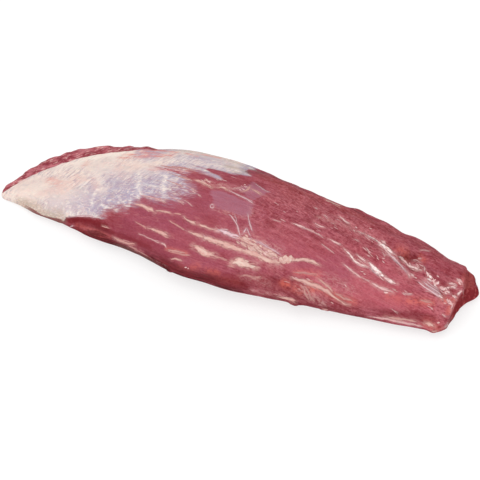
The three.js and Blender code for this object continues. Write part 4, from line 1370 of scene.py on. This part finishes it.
class Look:
    """A material in the making. node() adds a node and gives its output."""

    def __init__(self, name):
        self.material = bpy.data.materials.new(name)
        self.material.use_nodes = True
        self.tree = self.material.node_tree
        self.shader = self.tree.nodes["Principled BSDF"]

    def node(self, kind, settings=None, inputs=None, output=0):
        """A node with its settings, then the values or links of its sockets, by name or number."""
        made = self.tree.nodes.new(kind)
        for name, value in (settings or {}).items():
            setattr(made, name, value)
        for name, value in (inputs or {}).items():
            self.feed(made.inputs[name], value)
        return Wire(self, made.outputs[output])

    def feed(self, socket, value):
        """Links a socket or sets its value."""
        if isinstance(value, Wire):
            self.tree.links.new(value.socket, socket)
        else:
            socket.default_value = value

    def sum(self, operation, first, second):
        """The result of a sum on two numbers."""
        return self.node("ShaderNodeMath", {"operation": operation}, {0: first, 1: second})

    def stored(self, name):
        """A number stored on the mesh."""
        return self.node("ShaderNodeAttribute", {"attribute_name": name}, output="Fac")

    def stored_vector(self, name):
        """A vector stored on the mesh."""
        return self.node("ShaderNodeAttribute", {"attribute_name": name}, output="Vector")

    def stored_facing(self, name):
        """A direction stored on the mesh, turned with the piece."""
        settings = {"vector_type": "NORMAL", "convert_from": "OBJECT", "convert_to": "WORLD"}
        return self.node("ShaderNodeVectorTransform", settings, {"Vector": self.stored_vector(name)})

    def place(self):
        """Object coordinates."""
        return self.node("ShaderNodeTexCoord", output="Object")

    def stretched(self, vector, spans, seed):
        """A vector whose unit on each axis is the given span in mm, moved on for each seed."""
        scale = tuple(1 / (span * MM) for span in spans)
        inputs = {0: vector, 1: scale, 2: tuple(seed * step for step in SEED_STEPS)}
        return self.node("ShaderNodeVectorMath", {"operation": "MULTIPLY_ADD"}, inputs)

    def turned(self, vector, degrees):
        """A vector in axes turned about Z, so that X runs at the given angle."""
        turn = (0, 0, -math.radians(degrees))
        return self.node("ShaderNodeMapping", None, {"Vector": vector, "Rotation": turn})

    def noise(self, vector, spans, detail=2.0, rough=0.55, warp=0.0, seed=0):
        """Noise of about 0.5, with waves of the given spans in mm."""
        inputs = {"Vector": self.stretched(vector, spans, seed), "Scale": 1.0}
        inputs |= {"Detail": detail, "Roughness": rough, "Distortion": warp}
        return self.node("ShaderNodeTexNoise", {"noise_dimensions": "3D"}, inputs)

    def ramp(self, value, low, high):
        """0 at low, 1 at high, and an S-curve between."""
        inputs = {"Value": value, "From Min": low, "From Max": high}
        return self.node("ShaderNodeMapRange", {"interpolation_type": "SMOOTHSTEP"}, inputs)

    def line(self, value, level, width):
        """1 where the value crosses the level, and 0 further than the width from it."""
        return self.ramp(self.sum("ABSOLUTE", value - level, 0.0), width, 0.0)

    def blend(self, share, low, high):
        """A colour between two colours."""
        return self.node("ShaderNodeMix", {"data_type": "RGBA"}, {0: share, 6: low, 7: high}, output=2)

    def layered(self, colour, layers):
        """A colour under layers of tones, each in the share given where its noise goes from low to high."""
        for waves, low, high, share, layer_tone in layers:
            colour = self.blend(self.ramp(waves, low, high) * share, colour, layer_tone)
        return colour

    def bump(self, height, distance, strength=1.0, facing=None):
        """The normal of a bumpy surface, which may face another way than its mesh."""
        inputs = {"Height": height, "Distance": distance, "Strength": strength}
        if facing is not None:
            inputs["Normal"] = facing
        return self.node("ShaderNodeBump", None, inputs)

    def set(self, **values):
        """Feeds the shader's sockets, with _ for each space of a socket's name."""
        for name, value in values.items():
            self.feed(self.shader.inputs[name.replace("_", " ")], value)
        return self.material


def tone(red, green, blue):
    """A colour given on the usual 0 to 255 scale, as the shader wants it."""
    def light(value):
        share = value / 255
        return share / 12.92 if share <= 0.04045 else ((share + 0.055) / 1.055) ** 2.4

    return (light(red), light(green), light(blue), 1.0)


# Tones of the meat and of what covers it, and of the shade painted on it
LEAN = tone(158, 79, 89)
LEAN_PALE = tone(190, 114, 121)
LEAN_DEEP = tone(126, 48, 56)
# the lean's own deep red, also used as painted shade in hollows, creases and pits and on the underside
DEEP_RED_AND_SHADE = tone(108, 29, 35)
# painted shade for the underside and the dark lines at the outlines
SHADE = tone(74, 32, 34)
BROWN_RED = tone(154, 80, 75)
GREY_BROWN = tone(112, 84, 80)
ROSE = tone(180, 88, 98)
VIOLET = tone(150, 77, 96)
ORANGE = tone(206, 104, 88)
FILM_VIOLET = tone(158, 104, 120)
SKIN_BRIGHT = tone(232, 218, 206)
SKIN_CREAM = tone(213, 194, 186)
SKIN_PINK = tone(212, 176, 168)
SKIN_GREY = tone(190, 176, 174)
SKIN_LILAC = tone(167, 159, 177)
SKIN_STROKE = tone(162, 142, 154)
SKIN_RIM = tone(168, 148, 132)
BAND_PALE = tone(214, 168, 162)
CUT_RED = tone(128, 44, 48)
CUT_PALE = tone(164, 76, 78)
FAT_CREAM = tone(211, 186, 174)
FAT_ROSE = tone(196, 155, 146)
FAT_RIM = tone(197, 137, 132)
FIBRE_WHITE = tone(240, 226, 222)
FIBRE_ROSE = tone(212, 168, 166)
FIBRE_RIM = tone(200, 148, 148)
FASCIA_PALE = tone(214, 196, 203)
FASCIA_ROSE = tone(208, 172, 175)
FASCIA_RIM = tone(196, 152, 157)
SEAM_RED = tone(178, 108, 112)

# Angles from the length of the muscle, in degrees
STROKES_ANGLE = 62
DASHES_ANGLE = -26
CROSS_DASHES_ANGLE = 56
BAND_ANGLE = 44


def lean_waves(look, grain, place):
    """The noises of the lean by name: some run with the grain, some at a slant, and some have no way."""
    slanting = look.turned(place, DASHES_ANGLE)
    across = look.turned(place, CROSS_DASHES_ANGLE)
    return {
        "bundles": look.noise(grain, (40, 5, 5), 3.0),
        "fibres": look.noise(grain, (7, 0.8, 0.8), 3.0, 0.6, 0.3),
        "streaks": look.noise(grain, (16, 1.8, 1.8), 3.0, 0.6, 0.3, seed=3),
        "clouds": look.noise(place, (22, 12, 12), 3.0),
        "patches": look.noise(place, (8, 5, 5), 3.0, 0.6, seed=2),
        "mottle": look.noise(place, (1.5, 1.2, 1.2), 3.0, 0.7),
        "grit": look.noise(slanting, (1.3, 0.6, 0.6), 3.0, 0.7, seed=16),
        "dashes": look.noise(slanting, (4.5, 1.0, 1.0), 2.0, 0.6, 0.5),
        "crossing": look.noise(across, (3.0, 1.0, 1.0), 2.0, 0.6, 0.5),
        "lines": look.noise(slanting, (9.0, 0.55, 0.55), 3.0, 0.6, 0.4, seed=14),
    }


def lean_colour(look, waves, bare):
    """The lean meat's own tones, with pale and deep marks along the grain and across it."""
    rough = look.stored("rough")
    bundled = (1 - look.stored("calm") * 0.7) * 0.35
    colour = look.blend(look.ramp(waves["clouds"], 0.35, 0.65) * 0.6, LEAN, VIOLET)
    colour = look.blend(look.stored("rose") * 0.8, colour, ROSE)
    colour = look.blend(look.stored("violet") * 0.7, colour, VIOLET)
    colour = look.blend(look.stored("brown") * 0.7, colour, BROWN_RED)
    return look.layered(colour, [
        (waves["bundles"], 0.48, 0.64, bundled, LEAN_PALE),
        (waves["bundles"], 0.50, 0.36, bundled, LEAN_DEEP),
        (waves["patches"], 0.50, 0.38, bare * 0.5, LEAN_DEEP),
        (waves["patches"], 0.54, 0.66, bare * 0.3, LEAN_PALE),
        (waves["streaks"], 0.54, 0.64, bare * 0.35, LEAN_PALE),
        (waves["streaks"], 0.46, 0.34, bare * 0.4, LEAN_DEEP),
        (waves["fibres"], 0.52, 0.64, bare * 0.35, LEAN_PALE),
        (waves["fibres"], 0.49, 0.36, bare * 0.4, LEAN_DEEP),
        (waves["mottle"], 0.49, 0.36, bare * 0.6, LEAN_DEEP),
        (waves["mottle"], 0.54, 0.66, bare * 0.5, LEAN_PALE),
        (waves["grit"], 0.48, 0.34, 0.3 + rough * 0.2, LEAN_DEEP),
        (waves["grit"], 0.54, 0.68, 0.25 + rough * 0.25, LEAN_PALE),
        (waves["dashes"], 0.54, 0.68, rough * 0.5, LEAN_PALE),
        (waves["dashes"], 0.46, 0.34, rough * 0.55, LEAN_DEEP),
        (waves["crossing"], 0.46, 0.34, rough * 0.5, LEAN_DEEP),
        (waves["crossing"], 0.54, 0.66, rough * 0.35, LEAN_PALE),
        (waves["lines"], 0.55, 0.68, 0.1 + rough * 0.3, LEAN_PALE),
    ])


def seam_colour(look, colour, grain, place, bare):
    """Broken pale seams and dark slits between the bundles of the lean."""
    seams = look.line(look.noise(grain, (34, 4.2, 4.2), 2.0, 0.5, seed=5), 0.5, 0.022)
    broken = look.ramp(look.noise(place, (9, 9, 9), 2.0, seed=6), 0.46, 0.58)
    colour = look.blend(seams * broken * 0.6, colour, SEAM_RED)
    slits = look.line(look.noise(grain, (24, 3.4, 3.4), 2.0, 0.5, seed=7), 0.48, 0.02)
    open_slits = look.ramp(look.noise(place, (9, 9, 9), 2.0, seed=8), 0.50, 0.62)
    return look.blend(slits * open_slits * bare * 0.7, colour, DEEP_RED_AND_SHADE)


def tint_colour(look, colour, waves):
    """The places where the lean is a deep red, orange or grey-brown, and the shade painted in its hollows
    and creases, on its underside and along its outlines.
    """
    # deep holds painted shade as well as the deeper red; shade is painted shade
    deep = look.stored("deep") * (0.7 + waves["fibres"] * 0.4)
    blush = look.stored("orange") * look.ramp(waves["mottle"], 0.3, 0.55) * (1 - deep * 0.35)
    shade = look.stored("shade") * (0.35 + look.ramp(waves["streaks"], 0.60, 0.42) * 0.65)
    grey = look.stored("grey") * look.ramp(waves["fibres"], 0.25, 0.6)
    for share, tint_tone in ((deep, DEEP_RED_AND_SHADE), (blush * 0.8, ORANGE), (shade, SHADE), (grey, GREY_BROWN)):
        colour = look.blend(share, colour, tint_tone)
    return colour


def torn_colour(look, colour, grain, place):
    """Torn pale tissue with a net over it on the lean, and its height."""
    pale = look.stored("pale")
    torn = look.noise(grain, (3.4, 1.1, 1.1), 4.0, 0.7, 1.2, seed=11)
    net = look.line(look.noise(place, (4.0, 2.4, 2.4), 3.0, 0.6, 0.8, seed=12), 0.5, 0.05)
    colour = look.layered(colour, [
        (torn, 0.40, 0.62, pale * 0.7, SEAM_RED),
        (torn, 0.48, 0.64, pale * 0.8, FAT_ROSE),
    ])
    return look.blend(pale * net * 0.6, colour, FIBRE_ROSE), pale * torn * 0.6


def lean_relief(look, waves):
    """The height of the lean's fine relief."""
    rough = look.stored("rough")
    slanting = waves["dashes"] * rough * 0.7 + waves["crossing"] * rough * 0.5
    fine = waves["mottle"] * 0.3 + waves["grit"] * 0.35
    return waves["fibres"] * 0.4 + waves["streaks"] * 0.5 + slanting + fine


def band_colour(look, colour, place):
    """The mottled band of trimmed meat behind the silverskin's edge."""
    flecks = look.noise(look.turned(place, BAND_ANGLE), (3.6, 1.1, 1.1), 3.0, 0.6)
    blotches = look.noise(place, (6, 4, 4), 2.0)
    band = look.stored("band")
    blotched = look.blend(look.ramp(blotches, 0.4, 0.6), LEAN_DEEP, LEAN_PALE)
    colour = look.blend(band * 0.6, colour, blotched)
    return look.blend(band * look.ramp(flecks, 0.54, 0.68) * 0.85, colour, BAND_PALE)


def cut_colour(look, colour, place):
    """The dark cut face with its coarse ends of bundles."""
    cells = look.noise(place, (2.4, 2.4, 3.2), 3.0, 0.6)
    cut_tone = look.blend(look.ramp(cells, 0.48, 0.68), CUT_RED, CUT_PALE)
    return look.blend(look.stored("cut"), colour, cut_tone)


def film_colour(look, colour, grain):
    """The clear film over the lean: its own lilac cast, stronger in streaks as a painted sheen."""
    sheen = look.noise(grain, (10, 2.0, 2.0), 2.0)
    inside = look.ramp(look.stored("film") + (sheen - 0.5) * 0.004, -0.0004, 0.0012)
    return look.blend(inside * (0.4 + sheen * 0.5), colour, FILM_VIOLET)


def bloom_colour(look, colour, grain):
    """The paler meat beside the strands."""
    torn = look.noise(grain, (3.0, 0.6, 0.6), 3.0, 0.65, 0.5, seed=15)
    blooms = {"fat_bloom": FAT_ROSE, "fibre_bloom": FIBRE_ROSE, "fascia_bloom": FASCIA_ROSE}
    layers = [(torn, 0.34, 0.62, look.stored(name) * 0.75, bloom) for name, bloom in blooms.items()]
    return look.layered(colour, layers)


def skin_cover(look, place, grain):
    """The silverskin's colour, how much of the lean it hides, where it lies, and its height."""
    streaks = look.noise(grain, (18, 1.2, 1.2), 4.0, 0.65, 0.3)
    hairs = look.noise(grain, (7, 0.5, 0.5), 3.0, 0.6, 0.4, seed=13)
    web = look.noise(place, (4.2, 1.5, 1.5), 3.0, 0.6, 1.5)
    strokes = look.noise(look.turned(place, STROKES_ANGLE), (5.0, 1.2, 1.6), 3.0, 0.6, 0.8)
    stroked = look.ramp(look.noise(place, (20, 14, 14), 2.0, seed=9), 0.40, 0.62)
    clouds = look.noise(place, (16, 10, 10), 2.0)
    dapple = look.noise(place, (4.5, 3.0, 3.0), 3.0, 0.6, 0.4, seed=4)

    fade = look.stored("fade")
    crisp = look.ramp(look.stored("skin") + (web - 0.5) * 0.0012, -0.0003, 0.0003)
    frayed = look.ramp(fade + (streaks - 0.5) * 0.010 + (dapple - 0.5) * 0.004, -0.0006, 0.0085)
    veil = crisp * frayed
    thick = look.ramp(fade + (clouds - 0.5) * 0.012, 0.008, 0.030) * (1 - look.stored("lilac") * 0.75)
    thin = 1 - thick
    threads = look.stored("threads") * look.ramp(web, 0.30, 0.60)

    colour = look.layered(look.blend(thick, SKIN_LILAC, SKIN_CREAM), [
        (clouds, 0.50, 0.66, thick * 0.5, SKIN_PINK),
        (dapple, 0.50, 0.32, 0.55, SKIN_GREY),
        (strokes, 0.50, 0.36, stroked * 0.65, SKIN_STROKE),
        (strokes, 0.52, 0.64, stroked * 0.6, SKIN_BRIGHT),
        (hairs, 0.46, 0.32, thin * 0.5, SKIN_STROKE),
        (hairs, 0.56, 0.68, thin * 0.5, SKIN_BRIGHT),
        # cream: the silverskin's brighter cream, and painted light on the tip's lower edge
        (strokes, 0.30, 0.55, look.stored("cream") * 0.7, SKIN_BRIGHT),
        (hairs, 0.30, 0.55, look.stored("grey") * 0.8, SKIN_RIM),
        (web, 0.52, 0.66, frayed * (0.25 + thin * 0.4), SKIN_BRIGHT),
        (streaks, 0.35, 0.6, look.stored("orange") * 0.75, ORANGE),
    ])
    colour = look.blend(threads * 0.6, colour, SKIN_BRIGHT)
    # painted shade: a dark line along the tip's lower outline
    colour = look.blend(look.stored("tip_shade_line") * 0.8, colour, DEEP_RED_AND_SHADE)
    cover = veil * (0.74 + thick * 0.24 + look.ramp(streaks, 0.45, 0.65) * 0.12) + threads * veil * 0.3
    wedge = 1 - look.stored("wedge") * look.ramp(hairs, 0.66, 0.42)
    return colour, look.ramp(cover * wedge, 0.0, 1.0), veil, strokes * 0.6 + web * 0.4


def meat_look():
    """Lean beef with its silverskin, all over the muscle."""
    look = Look("raw_beef")
    grain = look.stored_vector("grain")
    place = look.place()
    waves = lean_waves(look, grain, place)
    bare = (1 - look.stored("violet") * 0.4) * (1 - look.stored("calm") * 0.65)
    colour = lean_colour(look, waves, bare)
    colour = seam_colour(look, colour, grain, place, bare)
    colour = tint_colour(look, colour, waves)
    colour, torn_height = torn_colour(look, colour, grain, place)
    colour = band_colour(look, colour, place)
    colour = cut_colour(look, colour, place)
    colour = film_colour(look, colour, grain)
    colour = bloom_colour(look, colour, grain)
    skin, cover, veil, skin_height = skin_cover(look, place, grain)
    lean_height = lean_relief(look, waves) + torn_height
    wet = look.noise(place, (3.0, 2.0, 2.0), 2.0)
    return look.set(
        Base_Color=look.blend(cover, colour, skin),
        Roughness=0.36 + wet * 0.16 + veil * 0.08,
        Specular_IOR_Level=0.0,
        Subsurface_Weight=0.10,
        Subsurface_Radius=(1.0, 0.32, 0.22),
        Subsurface_Scale=0.002,
        Coat_Weight=look.ramp(wet, 0.54, 0.70) * (1 - look.stored("cut")) * 0.15,
        Coat_Roughness=0.2,
        Coat_IOR=1.3,
        Normal=look.bump(lean_height + (skin_height - lean_height) * veil, 0.0007),
    )


def tissue_look(name, tones, roughness, wisp_spans):
    """Fat, fibre or fascia: paler where it lies thick, and frayed in wisps along the edges of a strand."""
    thick_tone, thin_tone, rim_tone = tones
    look = Look(name)
    axes = look.stored_vector("strand")
    wisps = look.noise(axes, wisp_spans, 3.0, 0.6)
    grain = look.noise(axes, (4.0, 0.3, 1.0), 3.0, 0.6, seed=5)
    gaps = look.noise(axes, (6.0, 1.2, 1.0), 2.0, 0.5, seed=2)
    mottle = look.noise(look.place(), (1.6, 1.1, 1.1), 3.0, 0.6)
    thickness = look.stored("thickness")
    body = 1 - look.stored("rim")
    full = look.ramp(body + (mottle - 0.5) * 0.8 + thickness * 0.3, 0.25, 0.95)
    core = look.blend(look.ramp(thickness, 0.0, 0.3), rim_tone, thin_tone)
    core = look.layered(core, [
        (mottle, 0.38, 0.58, look.ramp(thickness, 0.2, 0.9), thick_tone),
        (grain, 0.52, 0.40, 0.8 - thickness * 0.5, rim_tone),
    ])
    solid = body + (wisps - 0.5) * 1.5 + (gaps - 0.5) * (1.3 - thickness) + thickness * 0.15
    solid = solid + (mottle - 0.5) * 0.9
    return look.set(
        Base_Color=look.blend(full, rim_tone, core),
        Alpha=look.ramp(solid, 0.0, 0.62) * (0.8 + look.ramp(thickness, 0.0, 0.4) * 0.2),
        Roughness=roughness,
        Specular_IOR_Level=0.1,
        Subsurface_Weight=0.10,
        Subsurface_Radius=(1.0, 0.5, 0.4),
        Subsurface_Scale=0.001,
        Normal=look.bump(mottle, 0.0003, 0.8, look.stored_facing("upright")),
    )


def fat_look():
    """Soft cream fat."""
    return tissue_look("soft_fat", (FAT_CREAM, FAT_ROSE, FAT_RIM), 0.45, (4.0, 0.4, 1.0))


def fibre_look():
    """White connective fibres and torn flecks."""
    return tissue_look("white_fibre", (FIBRE_WHITE, FIBRE_ROSE, FIBRE_RIM), 0.4, (2.6, 0.35, 1.0))


def fascia_look():
    """Thin fascia with a lilac cast."""
    return tissue_look("fascia", (FASCIA_PALE, FASCIA_ROSE, FASCIA_RIM), 0.36, (3.0, 0.3, 1.0))


# The floor, in metres, and its glow
FLOOR_SIDE = 6.0
FLOOR_DROP = 0.00005
FLOOR_GREY = tone(150, 150, 150)
FLOOR_GLOW = 0.68

# The lamps, in metres and watts: the place, the side and the power
LAMPS = {
    "key_lamp": (Vector((-0.20, -0.45, 0.95)), 0.9, 6.8),
    "fill_lamp": (Vector((0.2, -0.9, 0.6)), 1.0, 2.4),
    "back_lamp": (Vector((0.0, 0.6, 0.9)), 0.9, 1.2),
}
LAMPS_AIM = Vector((0, 0, 0.01))
WHITE = (1, 1, 1, 1)
DAYLIGHT = 0.7


def floor_look():
    """The pale matt floor, which glows a little so that it stays nearly white under the meat."""
    look = Look("pale_floor")
    return look.set(
        Base_Color=FLOOR_GREY, Roughness=0.9, Emission_Color=WHITE, Emission_Strength=FLOOR_GLOW
    )


def make_floor():
    """The wide floor, just under the meat."""
    bpy.ops.mesh.primitive_plane_add(size=FLOOR_SIDE, location=(0, 0, -FLOOR_DROP))
    floor = bpy.context.object
    floor.name = "floor"
    floor.data.materials.append(floor_look())


def make_lamp(name, place, side, power):
    """A soft square lamp that faces the muscle."""
    bpy.ops.object.light_add(type="AREA", location=place)
    lamp = bpy.context.object
    lamp.name = name
    lamp.data.size = side
    lamp.data.energy = power
    lamp.rotation_euler = (place - LAMPS_AIM).to_track_quat("Z", "Y").to_euler()


def make_studio():
    """The floor, the lamps and the even light all round."""
    make_floor()
    for name, (place, side, power) in LAMPS.items():
        make_lamp(name, place, side, power)
    world = bpy.data.worlds.new("studio")
    world.use_nodes = True
    world.node_tree.nodes["Background"].inputs["Color"].default_value = WHITE
    world.node_tree.nodes["Background"].inputs["Strength"].default_value = DAYLIGHT
    bpy.context.scene.world = world
    bpy.context.scene.view_settings.view_transform = "Standard"


camera = make_camera()
make_studio()

random.seed(RANDOM_SEED)
muscle = make_muscle(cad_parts["muscle"])
shape_muscle(muscle, Surface(muscle, camera))
surface = Surface(muscle, camera)
make_fat(surface)
make_white_fibres(surface)
make_fascia(surface)
muscle.data.materials.clear()
muscle.data.materials.append(meat_look())
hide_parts("muscle")
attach(muscle, "root")
